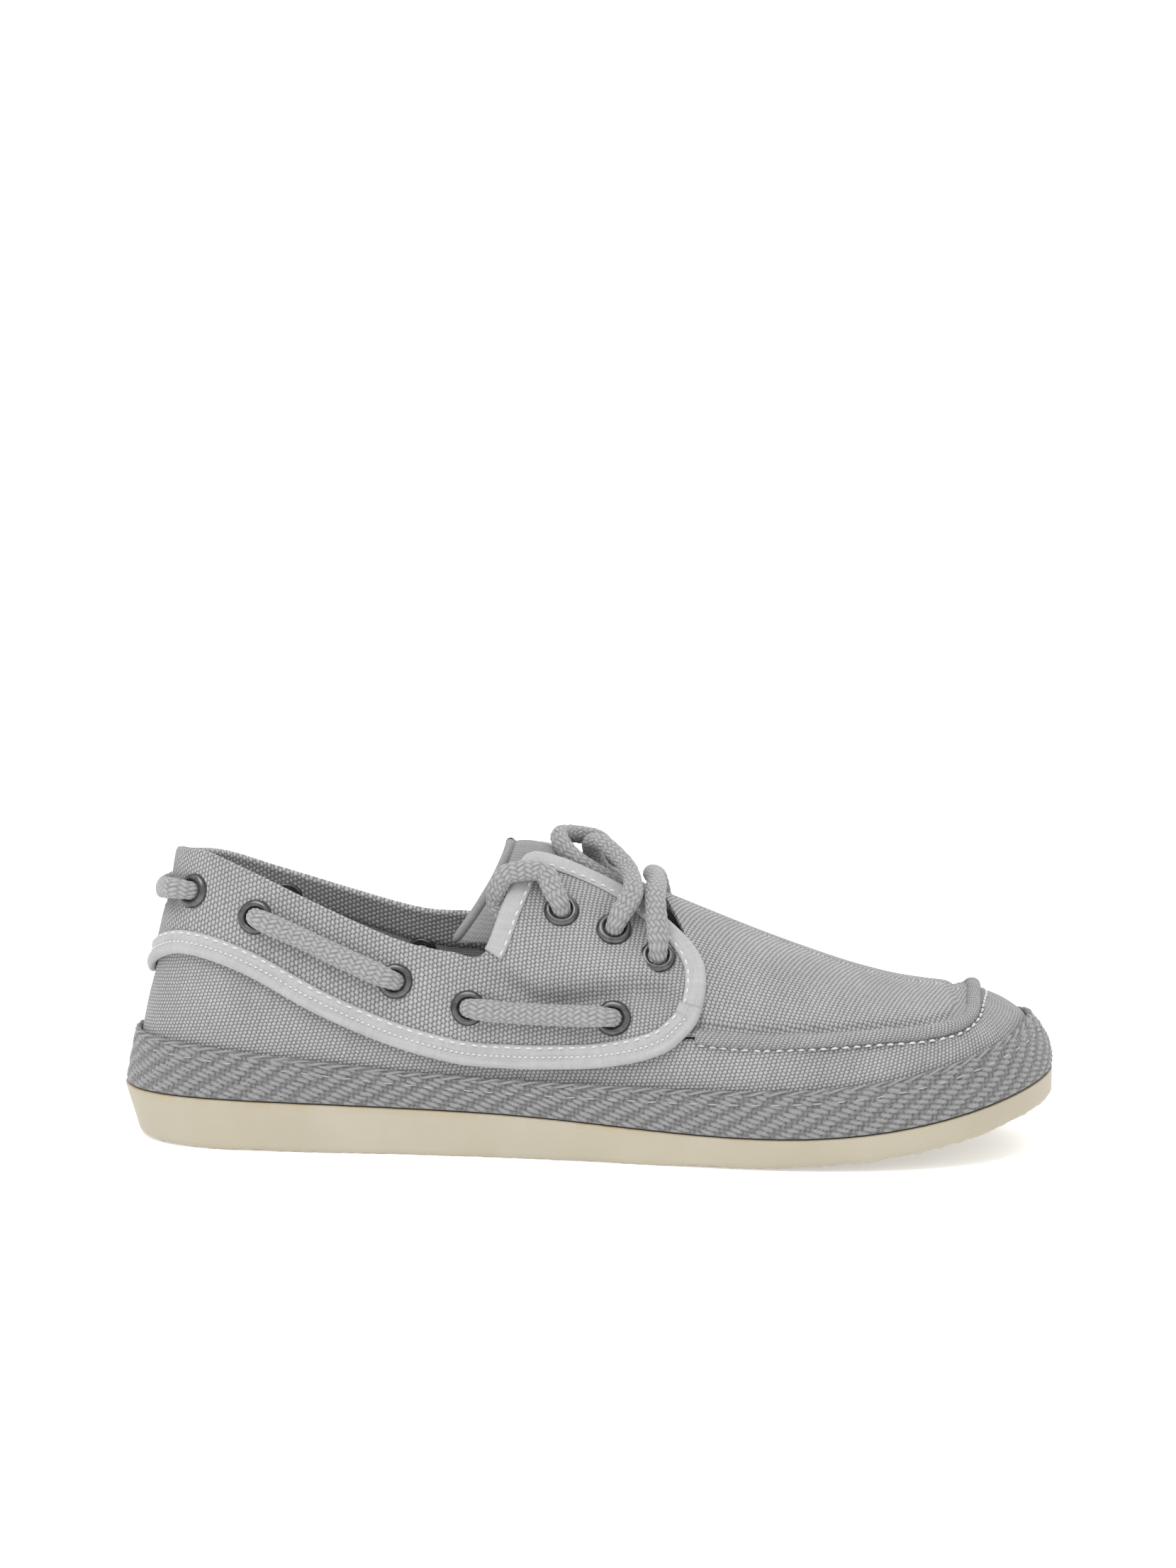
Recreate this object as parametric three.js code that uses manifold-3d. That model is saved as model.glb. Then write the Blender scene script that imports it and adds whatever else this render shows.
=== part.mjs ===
// A canvas deck shoe for the right foot: moulded rubber sole, woven foxing tape, moccasin-style
// apron, side-laced collar, flapped throat and a hinged tongue. Millimetres, +X to the toe, +Z up,
// -Y to the outer side of the foot. The origin is under the middle of the sole, on the ground.
import * as THREE from 'three';
import { mergeVertices } from 'three/addons/utils/BufferGeometryUtils.js';
import Module from 'manifold-3d';

const wasm = await Module();
wasm.setup();

// ---- Driving dimensions -------------------------------------------------------------------
const LENGTH = 285;             // outsole, heel to toe
const WIDTH = 98;               // outsole across the ball of the foot
const INSTEP = 128;             // height of the ridge line of the foot form above the heel
const SOLE = 15.6;              // outsole thickness at the heel
const TAPE = 14.5;              // height of the foxing tape at the ball
const FEATHER_INSET = 3.4;      // from the sole's edge in to where the upper leaves it
const GAP = 0.4;                // clearance kept between touching layers
const CANVAS = 1.0;             // thickness of the outer canvas panels
const LINING = 0.8;             // thickness of the lining
const STIFFENER = 0.7;          // thickness of heel counter and toe puff
const TAPE_THICK = 1.8;         // thickness of the foxing tape
const BINDING = 0.8;            // thickness of the folded binding tape
const LOWER_BINDING_WIDTH = 6.5;
const FLAP_BINDING_WIDTH = 4.6;
const PIPING_WIDTH = 3.0;       // raised ridge of the apron seam
const PIPING_HEIGHT = 1.7;
const BOARD = 1.8;              // insole board
const FOAM = 4.0;               // foam footbed
const SOCK = 0.8;               // textile sock on the footbed
const LACE = 5.4;               // lace diameter, as squeezed by the eyelets
const LACE_PLAY = 0.6;          // room round the lace in an eyelet
const EYELET_BORE = LACE + 2 * LACE_PLAY;
const EYELET_OUTER = EYELET_BORE + 4.2; // flange diameter
const EYELET_WALL = 0.6;
const EYELET_SIDES = 11;
const FLANGE = 0.7;
const AGLET_WALL = 0.5;
const TONGUE_THICK = 2.6;
const HEEL_RAKE = 4.5;          // how far the sole's heel end leans in towards the ground
const GROUND_BEVEL = 1.2;       // bevel around the sole's lower edge

// ---- Layer heights, measured out from the foot form ----------------------------------------
const WALL_OUT = CANVAS;                                  // side wall and apron: 0 to here
const QUARTER_IN = WALL_OUT + GAP;
const QUARTER_OUT = QUARTER_IN + CANVAS;
const BINDING_IN = QUARTER_OUT + GAP;
const BINDING_OUT = BINDING_IN + BINDING;
const TAPE_IN = WALL_OUT + GAP;
const STIFF_OUT = -GAP;
const LINING_OUT = STIFF_OUT - STIFFENER - GAP;           // lining behind wall and stiffeners
const COLLAR_LINING_OUT = QUARTER_IN - 2 * GAP;           // lining straight behind the quarter
const FLANGE_BACK = COLLAR_LINING_OUT - LINING - 2.2 * GAP; // clear of the curve of the lining
const LACE_OUTSIDE = BINDING_OUT + GAP + LACE / 2 + 0.5;
const LACE_INSIDE = FLANGE_BACK - FLANGE - GAP - LACE / 2 - 0.2;
const LACE_ON_LINING = COLLAR_LINING_OUT - LINING - 1.5 * GAP - LACE / 2;

// ---- Shape lists, evenly spaced control values from heel to toe ----------------------------
// Sole outline as fractions of the half length and half width, once around from the heel
// centre past the outer side, the toe and the inner side.
const OUTLINE = [
  [-1.03, 0], [-0.96, -0.54], [-0.76, -0.73], [-0.46, -0.73], [-0.15, -0.76], [0.17, -0.9],
  [0.45, -1.03], [0.72, -0.98], [0.935, -0.66], [1.045, 0.06], [0.955, 0.7], [0.75, 0.95],
  [0.49, 1.02], [0.22, 0.87], [-0.07, 0.66], [-0.38, 0.61], [-0.69, 0.69], [-0.94, 0.54],
];
const SPRING = [0.6, 0, 0, 0, 0, 0, 0, 1.6, 6.3, 15];                           // lift of the tread, mm
const SOLE_SHAPE = [0.97, 0.975, 0.94, 0.885, 0.83, 0.68, 0.565, 0.5, 0.5, 0.51];
const TAPE_SHAPE = [1.17, 1.07, 0.9, 0.76, 0.72, 0.855, 0.965, 0.98, 1, 1.07];
const RIDGE_SHAPE = [1, 0.961, 0.883, 0.793, 0.707, 0.605, 0.502, 0.406, 0.344, 0.324];
const RIDGE_SIDE = [0, 0, 0, 0, 0, 1, 3, 4, 4, 4];                              // towards +Y, mm
const BULGE = [-10.5, -5, -1.5, 0, 0.5, 0.8, 1.2, 1.8, 2.2, 2.4];               // fullness, mm
const RIDGE_HEEL = -0.835;      // the ridge line's two ends, as fractions of the half length
const RIDGE_TOE = 0.68;
const PIVOT_SOFTNESS = 14;

// ---- Pattern positions ---------------------------------------------------------------------
// A point of the upper is (s, t): s from 0 at the heel centre to 1 at the toe along either
// side, t from 0 at the sole to 1 at the ridge line.
const WALL_TOP = [
  [0, 0.24], [0.05, 0.272], [0.105, 0.29], [0.17, 0.272], [0.245, 0.225], [0.315, 0.18],
  [0.37, 0.159], [0.43, 0.16], [0.48, 0.174], [0.52, 0.194], [0.555, 0.238], [0.588, 0.297],
  [0.62, 0.313], [0.661, 0.339], [0.713, 0.388], [0.767, 0.436], [0.82, 0.458], [0.854, 0.478],
  [0.88, 0.517], [0.905, 0.574], [0.93, 0.63], [0.96, 0.668], [1, 0.686],
];
// The quarter's lower edge and, opposite each of its points, its upper edge: the collar rim,
// the rear edge of the flap, the flap's top edge and its front, meeting at the front tip.
const QUARTER_LOW = [
  [0, 0.197], [0.05, 0.232], [0.105, 0.26], [0.17, 0.241], [0.245, 0.18], [0.315, 0.135],
  [0.37, 0.114], [0.4, 0.113], [0.412, 0.115], [0.425, 0.118], [0.437, 0.121], [0.46, 0.13],
  [0.5, 0.152], [0.535, 0.185], [0.558, 0.218], [0.575, 0.255], [0.588, 0.305], [0.597, 0.352],
  [0.6015, 0.4],
];
const QUARTER_HIGH = [
  [0, 0.461], [0.055, 0.464], [0.113, 0.476], [0.175, 0.449], [0.248, 0.405], [0.318, 0.369],
  [0.367, 0.369], [0.3985, 0.386], [0.416, 0.55], [0.426, 0.68], [0.433, 0.785], [0.45, 0.831],
  [0.488, 0.838], [0.523, 0.81], [0.5605, 0.732], [0.587, 0.656], [0.6005, 0.578], [0.6035, 0.484],
  [0.6005, 0.395],
];
// How much higher the rim's first points lie on the inner side of the foot, as t.
const INNER_RIM_LIFT = [0, -0.012, -0.03, -0.03, -0.008, 0.018, 0.04, 0.03];
const FLAP_START = 7;           // where the flap rises from the collar rim in QUARTER_HIGH
const FLAP_FRONT = 15;          // where the flap's front edge starts down
const COLLAR_EYELETS = [[0.107, 0.383], [0.181, 0.353], [0.3165, 0.273], [0.3855, 0.2415], [0.522, 0.301]];
const FLAP_EYELETS = [[0.4685, 0.594], [0.518, 0.594], [0.5602, 0.5475]];
const APRON_REAR = 0.588;       // apron's rear edge at the sides, as s
const APRON_REAR_RIDGE = 0.56;  // and at the ridge
const PIPING_START = 0.599;     // s where the apron's raised seam comes out from under the quarter
const BUTT = 0.0009;            // half the gap of a back seam, as s
const LINING_FOOT = 0.035;      // t where the linings end above the sole
const TOE_PUFF_START = 0.84;    // s
const TOE_PUFF_TOP = 0.46;      // t
const COUNTER_END = 0.2;        // s
const COUNTER_TOP = 0.215;      // t

// Tongue: heights of its ridge from its free rear end to its root, and its widening.
const TONGUE_REAR = -22;
const TONGUE_ROOT = 27;
const TONGUE_RIDGE = [91.3, 91.1, 89.5, 85.5, 79, 72.5, 67.8, 65.5, 64];
const TONGUE_HALF = [14.5, 14.5, 14.8, 15.2, 15.9, 16.8, 17.6, 18.2, 18.8];
const TONGUE_DROP = [30, 30, 28, 25, 21, 17, 13, 10, 8];
const TONGUE_ARCH = 1.4;        // how the drop grows from the ridge to the sides
const TONGUE_REAR_SWEEP = 16;   // how much further back the rear edge lies at the sides

const colours = {
  rubber: ['#cdc5b2', 0.62, 0], canvas: ['#a9a9aa', 0.92, 0], tape: ['#7f8082', 0.95, 0],
  binding: ['#b9babb', 0.9, 0], lining: ['#8f8f90', 0.95, 0], board: ['#b49a78', 0.9, 0],
  foam: ['#d8d4ca', 0.9, 0], sock: ['#9a9a9b', 0.95, 0], stiffener: ['#c9c2b0', 0.85, 0],
  gunmetal: ['#4c4e52', 0.35, 0.9], lace: ['#a2a3a4', 0.95, 0], aglet: ['#c9cacb', 0.4, 0],
};

// ---- Curves and small maths ----------------------------------------------------------------
const lerp = THREE.MathUtils.lerp;
const clamp = THREE.MathUtils.clamp;
const smooth = (x, from, to) => THREE.MathUtils.smoothstep(x, from, to);

function splineWeights(f) {
  const g = 1 - f;
  return [g ** 3 / 6, (3 * f ** 3 - 6 * f ** 2 + 4) / 6,
    (-3 * f ** 3 + 3 * f ** 2 + 3 * f + 1) / 6, f ** 3 / 6];
}

// Smooth value of an evenly spaced list at a fraction from 0 to 1 of its length.
function listAt(values, fraction) {
  const last = values.length - 1;
  const whole = [2 * values[0] - values[1], ...values, 2 * values[last] - values[last - 1]];
  const at = clamp(fraction, 0, 1) * last;
  const i = Math.min(Math.floor(at), last - 1);
  return splineWeights(at - i).reduce((sum, w, k) => sum + w * whole[i + k], 0);
}
const along = (values, x) => listAt(values, x / LENGTH + 0.5);

function outlinePoint(fraction) {
  const at = (fraction % 1) * OUTLINE.length;
  const i = Math.floor(at);
  const point = new THREE.Vector2();
  splineWeights(at - i).forEach((w, k) => {
    const [x, y] = OUTLINE[(i + k - 1 + OUTLINE.length) % OUTLINE.length];
    point.x += w * x;
    point.y += w * y;
  });
  return point;
}

function outlineLoop(count = 720) {
  const loop = Array.from({ length: count }, (_, i) => outlinePoint(i / count));
  const box = new THREE.Box2().setFromPoints(loop);
  const centre = box.getCenter(new THREE.Vector2());
  const size = box.getSize(new THREE.Vector2());
  return loop.map((p) => p.sub(centre).multiply(new THREE.Vector2(LENGTH / size.x, WIDTH / size.y)));
}
const SOLE_LOOP = outlineLoop();

// The sole's outline moved in by a distance, walked by arc length from the heel centre.
class Edge {
  constructor(inset) {
    const n = SOLE_LOOP.length;
    this.loop = SOLE_LOOP.map((p, i) => {
      const ahead = SOLE_LOOP[(i + 1) % n].clone().sub(SOLE_LOOP[(i + n - 1) % n]).normalize();
      return new THREE.Vector2(-ahead.y, ahead.x).multiplyScalar(inset).add(p);
    });
    this.run = [0];
    this.loop.forEach((p, i) => this.run.push(this.run[i] + p.distanceTo(this.loop[(i + 1) % n])));
    const tip = this.loop.reduce((best, p, i) => (p.x > this.loop[best].x ? i : best), 0);
    this.total = this.run[n];
    this.outer = this.run[tip];
    this.inner = this.total - this.outer;
  }

  // side -1 is the outer side of the foot, +1 the inner side.
  at(side, s) {
    const wanted = side < 0 ? s * this.outer : this.total - s * this.inner;
    const walk = ((wanted % this.total) + this.total) % this.total;
    let low = 0;
    let high = this.loop.length;
    while (high - low > 1) {
      const middle = (low + high) >> 1;
      if (this.run[middle] <= walk) low = middle;
      else high = middle;
    }
    const share = (walk - this.run[low]) / (this.run[low + 1] - this.run[low]);
    return this.loop[low].clone().lerp(this.loop[(low + 1) % this.loop.length], share);
  }
}
const FEATHER = new Edge(FEATHER_INSET);

// Height at s of a curve given as a list of (s, t) points.
function curveAt(points, s) {
  const last = points.length - 1;
  let i = points.findIndex((p) => p[0] > s) - 1;
  if (i < 0) i = s <= points[0][0] ? 0 : last - 1;
  const slope = (k) => {
    const [a, b] = [points[Math.max(k - 1, 0)], points[Math.min(k + 1, last)]];
    return (b[1] - a[1]) / (b[0] - a[0]);
  };
  const width = points[i + 1][0] - points[i][0];
  const f = clamp((s - points[i][0]) / width, 0, 1);
  const [f2, f3] = [f * f, f * f * f];
  return (2 * f3 - 3 * f2 + 1) * points[i][1] + (f3 - 2 * f2 + f) * width * slope(i)
    + (3 * f2 - 2 * f3) * points[i + 1][1] + (f3 - f2) * width * slope(i + 1);
}

// ---- Foot form -----------------------------------------------------------------------------
const tread = (x) => along(SPRING, x);
const soleTop = (x) => tread(x) + SOLE * along(SOLE_SHAPE, x);
const ridge = (x) => INSTEP * along(RIDGE_SHAPE, x);

function softClamp(x, low, high) {
  const knee = (v) => PIVOT_SOFTNESS * Math.log1p(Math.exp(clamp(v / PIVOT_SOFTNESS, -50, 50)));
  return low + knee(x - low) - knee(x - high);
}

function formPoint(side, s, t) {
  const foot = FEATHER.at(side, s);
  const x = softClamp(foot.x, RIDGE_HEEL * LENGTH / 2, RIDGE_TOE * LENGTH / 2);
  const reach = new THREE.Vector2(x, along(RIDGE_SIDE, x)).sub(foot);
  const angle = t * Math.PI / 2;
  const share = 1 - Math.cos(angle) - along(BULGE, foot.x) * Math.sin(2 * angle) / reach.length();
  const low = soleTop(foot.x) + GAP;
  return new THREE.Vector3(foot.x + reach.x * share, foot.y + reach.y * share,
    low + (ridge(x) - low) * Math.sin(angle));
}

function formNormal(side, s, t) {
  const [ds, dt] = [0.004, 0.01];
  const level = clamp(t, dt, 0.94);
  const run = formPoint(side, s + ds, level).sub(formPoint(side, s - ds, level));
  const rise = formPoint(side, s, level + dt).sub(formPoint(side, s, level - dt));
  const normal = run.cross(rise).multiplyScalar(-side).normalize();
  const x = formPoint(side, s, 1).x;
  const top = new THREE.Vector3(ridge(x - 1) - ridge(x + 1), 0, 2).normalize();
  normal.lerp(top, smooth(t, 0.86, 1));
  normal.z *= clamp(t / 0.08, 0, 1);
  return normal.normalize();
}

// A point of the upper at pattern position (s, t), `out` away from the foot form. Where the
// upper stands on the sole it follows the sole's top whatever its layer.
function skin(side, s, t, out = 0) {
  const point = formPoint(side, s, t).addScaledVector(formNormal(side, s, t), out);
  const foot = FEATHER.at(side, s).x;
  point.z += (soleTop(foot + (point.x - formPoint(side, s, t).x)) - soleTop(foot)) * clamp(1 - t / 0.12, 0, 1);
  return point;
}

function levelAt(side, s, height) {
  const foot = FEATHER.at(side, s);
  const x = softClamp(foot.x, RIDGE_HEEL * LENGTH / 2, RIDGE_TOE * LENGTH / 2);
  return Math.asin(height / (ridge(x) - soleTop(foot.x) - GAP)) * 2 / Math.PI;
}

// ---- Solids --------------------------------------------------------------------------------
// A block divided into nu x nv x nw cells with every corner moved by place(u, v, w). Corners
// that land together are welded, faces that collapse or close on each other are dropped.
function warp(nu, nv, nw, place) {
  const block = new THREE.BoxGeometry(1, 1, 1, nu, nv, nw);
  const from = block.attributes.position;
  const [points, known, ids] = [[], new Map(), []];
  for (let i = 0; i < from.count; i += 1) {
    const p = place(from.getX(i) + 0.5, from.getY(i) + 0.5, from.getZ(i) + 0.5);
    const key = p.toArray().map((v) => Math.round(v * 500)).join();
    if (!known.has(key)) known.set(key, points.push(p) - 1);
    ids.push(known.get(key));
  }
  const faces = new Map();
  const index = block.index.array;
  for (let q = 0; q < index.length; q += 6) {
    const ring = [index[q], index[q + 1], index[q + 4], index[q + 2]].map((i) => ids[i]);
    const corners = ring.filter((id, k) => id !== ring[(k + 3) % 4]);
    if (new Set(corners).size < 3) continue;
    const key = [...new Set(corners)].sort().join();
    if (faces.has(key)) faces.delete(key);
    else faces.set(key, corners);
  }
  const triangles = [...faces.values()].flatMap((c) => (
    c.length === 4 ? [c[0], c[1], c[2], c[0], c[2], c[3]] : c));
  return facingOut(points, triangles);
}

function facingOut(points, triangles) {
  let volume = 0;
  for (let i = 0; i < triangles.length; i += 3) {
    const [a, b, c] = [0, 1, 2].map((k) => points[triangles[i + k]]);
    volume += a.dot(b.clone().cross(c));
  }
  if (volume < 0) triangles.reverse();
  const geometry = new THREE.BufferGeometry().setFromPoints(points);
  return geometry.setIndex(triangles);
}

function toSolid(geometry) {
  const bare = new THREE.BufferGeometry();
  bare.setAttribute('position', geometry.attributes.position.clone());
  if (geometry.index) bare.setIndex(geometry.index.clone());
  const merged = mergeVertices(bare, 1e-4);
  return new wasm.Manifold(new wasm.Mesh({
    numProp: 3,
    vertProperties: new Float32Array(merged.attributes.position.array),
    triVerts: new Uint32Array(merged.index.array),
  }));
}

function toGeometry(solid) {
  const mesh = solid.getMesh();
  const geometry = new THREE.BufferGeometry();
  geometry.setAttribute('position', new THREE.BufferAttribute(new Float32Array(mesh.vertProperties), 3));
  return geometry.setIndex(new THREE.BufferAttribute(new Uint32Array(mesh.triVerts), 1));
}

function cut(geometry, tools) {
  return toGeometry(tools.reduce((solid, tool) => solid.subtract(toSolid(tool)), toSolid(geometry)));
}

// Places along s for a run of cells: close together round the heel and the toe.
function stations(from, to) {
  const spots = [from];
  while (spots.at(-1) < to) {
    const s = spots.at(-1);
    const step = s < 0.14 || s > 0.72 ? 7.5 : 14;
    spots.push(s + step / FEATHER.outer);
  }
  const stretch = (to - from) / (spots.at(-1) - from);
  return spots.map((s) => from + (s - from) * stretch);
}
const pick = (list, u) => list[Math.round(u * (list.length - 1))];

// A band right round the foot, or on one side of it, between two levels given as functions.
function band(sides, from, to, low, high, inner, outer, rows) {
  const oneSide = stations(from, to);
  const walk = sides.length === 1 ? oneSide.map((s) => [sides[0], s])
    : [...oneSide.map((s) => [-1, s]), ...oneSide.slice(0, -1).reverse().map((s) => [1, s])];
  return warp(walk.length - 1, rows, 1, (u, v, w) => {
    const [side, s] = pick(walk, u);
    return skin(side, s, lerp(low(side, s), high(side, s), v), lerp(inner, outer, w));
  });
}

// A panel between two (s, t) curves of one side, stepped `per` times between their points.
function panel(side, lowPoints, highPoints, per, rows, offset) {
  const [low, high] = [lowPoints, highPoints].map((list) => (
    new THREE.SplineCurve(list.map((p) => new THREE.Vector2(p[0], p[1])))));
  return warp((lowPoints.length - 1) * per, rows, 1, (u, v, w) => {
    const at = low.getPoint(u).lerp(high.getPoint(u), v);
    return skin(side, Math.max(at.x, BUTT), at.y, offset(at.x, at.y, w));
  });
}

// (s, t) moved `distance` mm square to a curve, towards its left (+1) or right (-1).
function aside(side, curve, u, distance) {
  const at = curve.getPoint(u);
  const ahead = curve.getTangent(clamp(u, 0.001, 0.999));
  const [d, half] = [0.01, 0.005];
  const perS = skin(side, at.x + half, at.y).sub(skin(side, at.x - half, at.y)).divideScalar(d);
  const perT = skin(side, at.x, at.y + half).sub(skin(side, at.x, at.y - half)).divideScalar(d);
  const [ss, st, tt] = [perS.dot(perS), perS.dot(perT), perT.dot(perT)];
  const area = Math.sqrt(ss * tt - st * st);
  const length = Math.sqrt(ss * ahead.x ** 2 + 2 * st * ahead.x * ahead.y + tt * ahead.y ** 2);
  const k = distance / (length * area);
  return new THREE.Vector2(at.x - k * (st * ahead.x + tt * ahead.y), at.y + k * (ss * ahead.x + st * ahead.y));
}

// A tape laid along part of a curve, from its edge inwards by `width`.
function tapeAlong(side, points, from, to, steps, width, inner, outer) {
  const curve = new THREE.SplineCurve(points.map((p) => new THREE.Vector2(p[0], p[1])));
  return warp(steps, 1, 1, (u, v, w) => {
    const at = aside(side, curve, lerp(from, to, u), width * v);
    return skin(side, Math.max(at.x, BUTT), at.y, lerp(inner, outer, w));
  });
}

// A layer inside the shoe between two heights above the sole's top, as wide as the lining
// leaves room for at each height.
function insideLayer(bottom, top, clearance) {
  const spots = stations(0, 1);
  return warp(spots.length - 1, 2, 1, (u, v, w) => {
    const s = pick(spots, u);
    const height = lerp(bottom, top, w);
    const edge = (side) => skin(side, s, levelAt(side, s, height), LINING_OUT - LINING - clearance);
    const at = edge(-1).lerp(edge(1), v);
    return at.setZ(soleTop(at.x) + height);
  });
}

function polygon(radius, sides) {
  const turn = (i) => (i + 0.5) * 2 * Math.PI / sides;
  return new THREE.Shape(Array.from({ length: sides }, (_, i) => (
    new THREE.Vector2(radius * Math.cos(turn(i)), radius * Math.sin(turn(i))))));
}

// A curve that is walked by its points instead of by its length, so bends get more steps.
class Route extends THREE.CatmullRomCurve3 {
  getPointAt(u, target) { return this.getPoint(u, target); }

  getTangentAt(u, target) { return this.getTangent(u, target); }
}

function tube(points, radius, sides, per) {
  const path = new Route(points, false, 'centripetal');
  const steps = Math.round((points.length - 1) * per);
  return new THREE.ExtrudeGeometry(polygon(radius, sides), { steps, extrudePath: path });
}

// ---- Sole ----------------------------------------------------------------------------------
// The heel end leans in towards the ground and the lower edge is bevelled all round.
function outsole() {
  const [edge, groundEdge] = [new Edge(0), new Edge(GROUND_BEVEL)];
  const spots = stations(0, 1);
  return warp(spots.length - 1, 4, 2, (u, v, w) => {
    const s = pick(spots, u);
    const line = w === 0 ? groundEdge : edge;
    const at = line.at(-1, s).lerp(line.at(1, s), v);
    if (w === 1) return new THREE.Vector3(at.x, at.y, soleTop(at.x));
    const lean = HEEL_RAKE * smooth(-at.x, LENGTH / 2 - 36, LENGTH / 2);
    return new THREE.Vector3(at.x + lean, at.y, tread(at.x) + (w === 0 ? 0 : GROUND_BEVEL));
  });
}

const boardTop = GAP + BOARD;
const foamTop = boardTop + GAP + FOAM;
const insoleBoard = () => insideLayer(GAP, boardTop, GAP);
const footbed = () => insideLayer(boardTop + GAP, foamTop, 1.5 * GAP);
const sock = () => insideLayer(foamTop + GAP, foamTop + GAP + SOCK, 2 * GAP);

// ---- Upper ---------------------------------------------------------------------------------
const wallTop = (side, s) => curveAt(WALL_TOP, s);
const quarterTop = (side) => QUARTER_HIGH.map(([s, t], i) => [s, t + (side > 0 && INNER_RIM_LIFT[i] || 0)]);
const tapeTop = (side, s) => levelAt(side, s, TAPE * along(TAPE_SHAPE, FEATHER.at(side, s).x));
const fixed = (value) => () => value;
const seamGap = 0.004;          // half the seam between wall and apron, as t

const foxingTape = () => band([-1, 1], 0, 1, fixed(0), tapeTop, TAPE_IN, TAPE_IN + TAPE_THICK, 3);
const sideWall = () => band([-1, 1], 0, 1, fixed(0), (side, s) => wallTop(side, s) - seamGap, 0, WALL_OUT, 6);

function heelCounter() {
  const low = fixed(LINING_FOOT);
  const high = (side, s) => lerp(COUNTER_TOP, COUNTER_TOP * 0.6, smooth(s, 0.08, COUNTER_END));
  const sides = stations(0, COUNTER_END);
  const walk = [...sides.slice(1).reverse().map((s) => [-1, s]), ...sides.map((s) => [1, s])];
  return warp(walk.length - 1, 3, 1, (u, v, w) => {
    const [side, s] = pick(walk, u);
    return skin(side, s, lerp(low(side, s), high(side, s), v), lerp(STIFF_OUT - STIFFENER, STIFF_OUT, w));
  });
}

const toePuff = () => band([-1, 1], TOE_PUFF_START, 1, fixed(LINING_FOOT), fixed(TOE_PUFF_TOP),
  STIFF_OUT - STIFFENER, STIFF_OUT, 3);

// A dome over the front of the foot, from a level on the outer side over the ridge to the same
// level on the inner side, open towards the heel.
function vault(rear, low, inner, outer, rows) {
  const spots = stations(0, 1).filter((s) => s >= 0.56).map((s, i, all) => (s - all[0]) / (1 - all[0]));
  return warp(spots.length - 1, rows * 2, 1, (u, v, w) => {
    const side = v < 0.5 ? -1 : 1;
    const climb = 1 - Math.abs(2 * v - 1);
    const s = lerp(rear(climb), 1, pick(spots, u));
    return skin(side, s, lerp(low(s), 1, climb), lerp(inner, outer, w));
  });
}

const apronRear = (climb) => lerp(APRON_REAR, APRON_REAR_RIDGE, smooth(climb, 0.45, 1));
const apron = () => vault(apronRear, (s) => wallTop(-1, s) + seamGap, 0, WALL_OUT, 5);
const vampLining = () => vault(fixed(APRON_REAR), fixed(LINING_FOOT), LINING_OUT - LINING, LINING_OUT, 6);

function apronPiping() {
  const spots = stations(PIPING_START, 1);
  const walk = [...spots.map((s) => [-1, s]), ...spots.slice(0, -1).reverse().map((s) => [1, s])];
  const foot = WALL_OUT + GAP;
  return warp(walk.length - 1, 1, 1, (u, v, w) => {
    const [side, s] = pick(walk, u);
    const half = levelAt(side, s, PIPING_WIDTH) * 0.6;
    return skin(side, s, wallTop(side, s) + lerp(-half, half, v), lerp(foot, foot + PIPING_HEIGHT, w));
  });
}

function eyeletHoles(side, radius) {
  return [...COLLAR_EYELETS, ...FLAP_EYELETS].map(([s, t]) => {
    const drill = new THREE.CylinderGeometry(radius, radius, 14, EYELET_SIDES);
    return drill.applyMatrix4(eyeletPose(side, s, t));
  });
}

function eyeletPose(side, s, t) {
  const turn = new THREE.Quaternion().setFromUnitVectors(new THREE.Vector3(0, 1, 0), formNormal(side, s, t));
  return new THREE.Matrix4().compose(skin(side, s, t), turn, new THREE.Vector3(1, 1, 1));
}

const barrelOuter = EYELET_BORE / 2 + EYELET_WALL;

function quarter(side) {
  const sheet = panel(side, QUARTER_LOW, quarterTop(side), 2, 5, (s, t, w) => lerp(QUARTER_IN, QUARTER_OUT, w));
  return cut(sheet, eyeletHoles(side, barrelOuter + GAP));
}

// The lining lies behind the side wall low down and straight behind the quarter above it.
function collarLining(side) {
  const rim = new THREE.SplineCurve(quarterTop(side).slice(0, FLAP_FRONT + 1).map(([s, t]) => (
    new THREE.Vector2(Math.min(s, APRON_REAR - 0.005), t - 0.012))));
  const sheet = warp((rim.points.length - 1) * 2, 7, 1, (u, v, w) => {
    const { x: s, y: high } = rim.getPoint(u);
    const [step, stepped] = [wallTop(side, s) + 0.002, wallTop(side, s) + 0.04];
    const climb = [0.2, 0.4, 0.6, 0.8, 1].map((share) => lerp(stepped, high, share));
    const t = pick([LINING_FOOT, step, stepped, ...climb], v);
    const outer = t < stepped ? LINING_OUT : COLLAR_LINING_OUT;
    return skin(side, Math.max(s, BUTT), t, outer - LINING * (1 - w));
  });
  return cut(sheet, eyeletHoles(side, barrelOuter + GAP));
}

const lowerBinding = (side) => tapeAlong(side, QUARTER_LOW, 0, 1, 36, LOWER_BINDING_WIDTH, BINDING_IN, BINDING_OUT);

function flapBinding(side) {
  const from = (FLAP_START + 0.15) / (QUARTER_HIGH.length - 1);
  const to = (QUARTER_HIGH.length - 1.6) / (QUARTER_HIGH.length - 1);
  return tapeAlong(side, quarterTop(side), from, to, 22, -FLAP_BINDING_WIDTH, BINDING_IN, BINDING_OUT);
}

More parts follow.
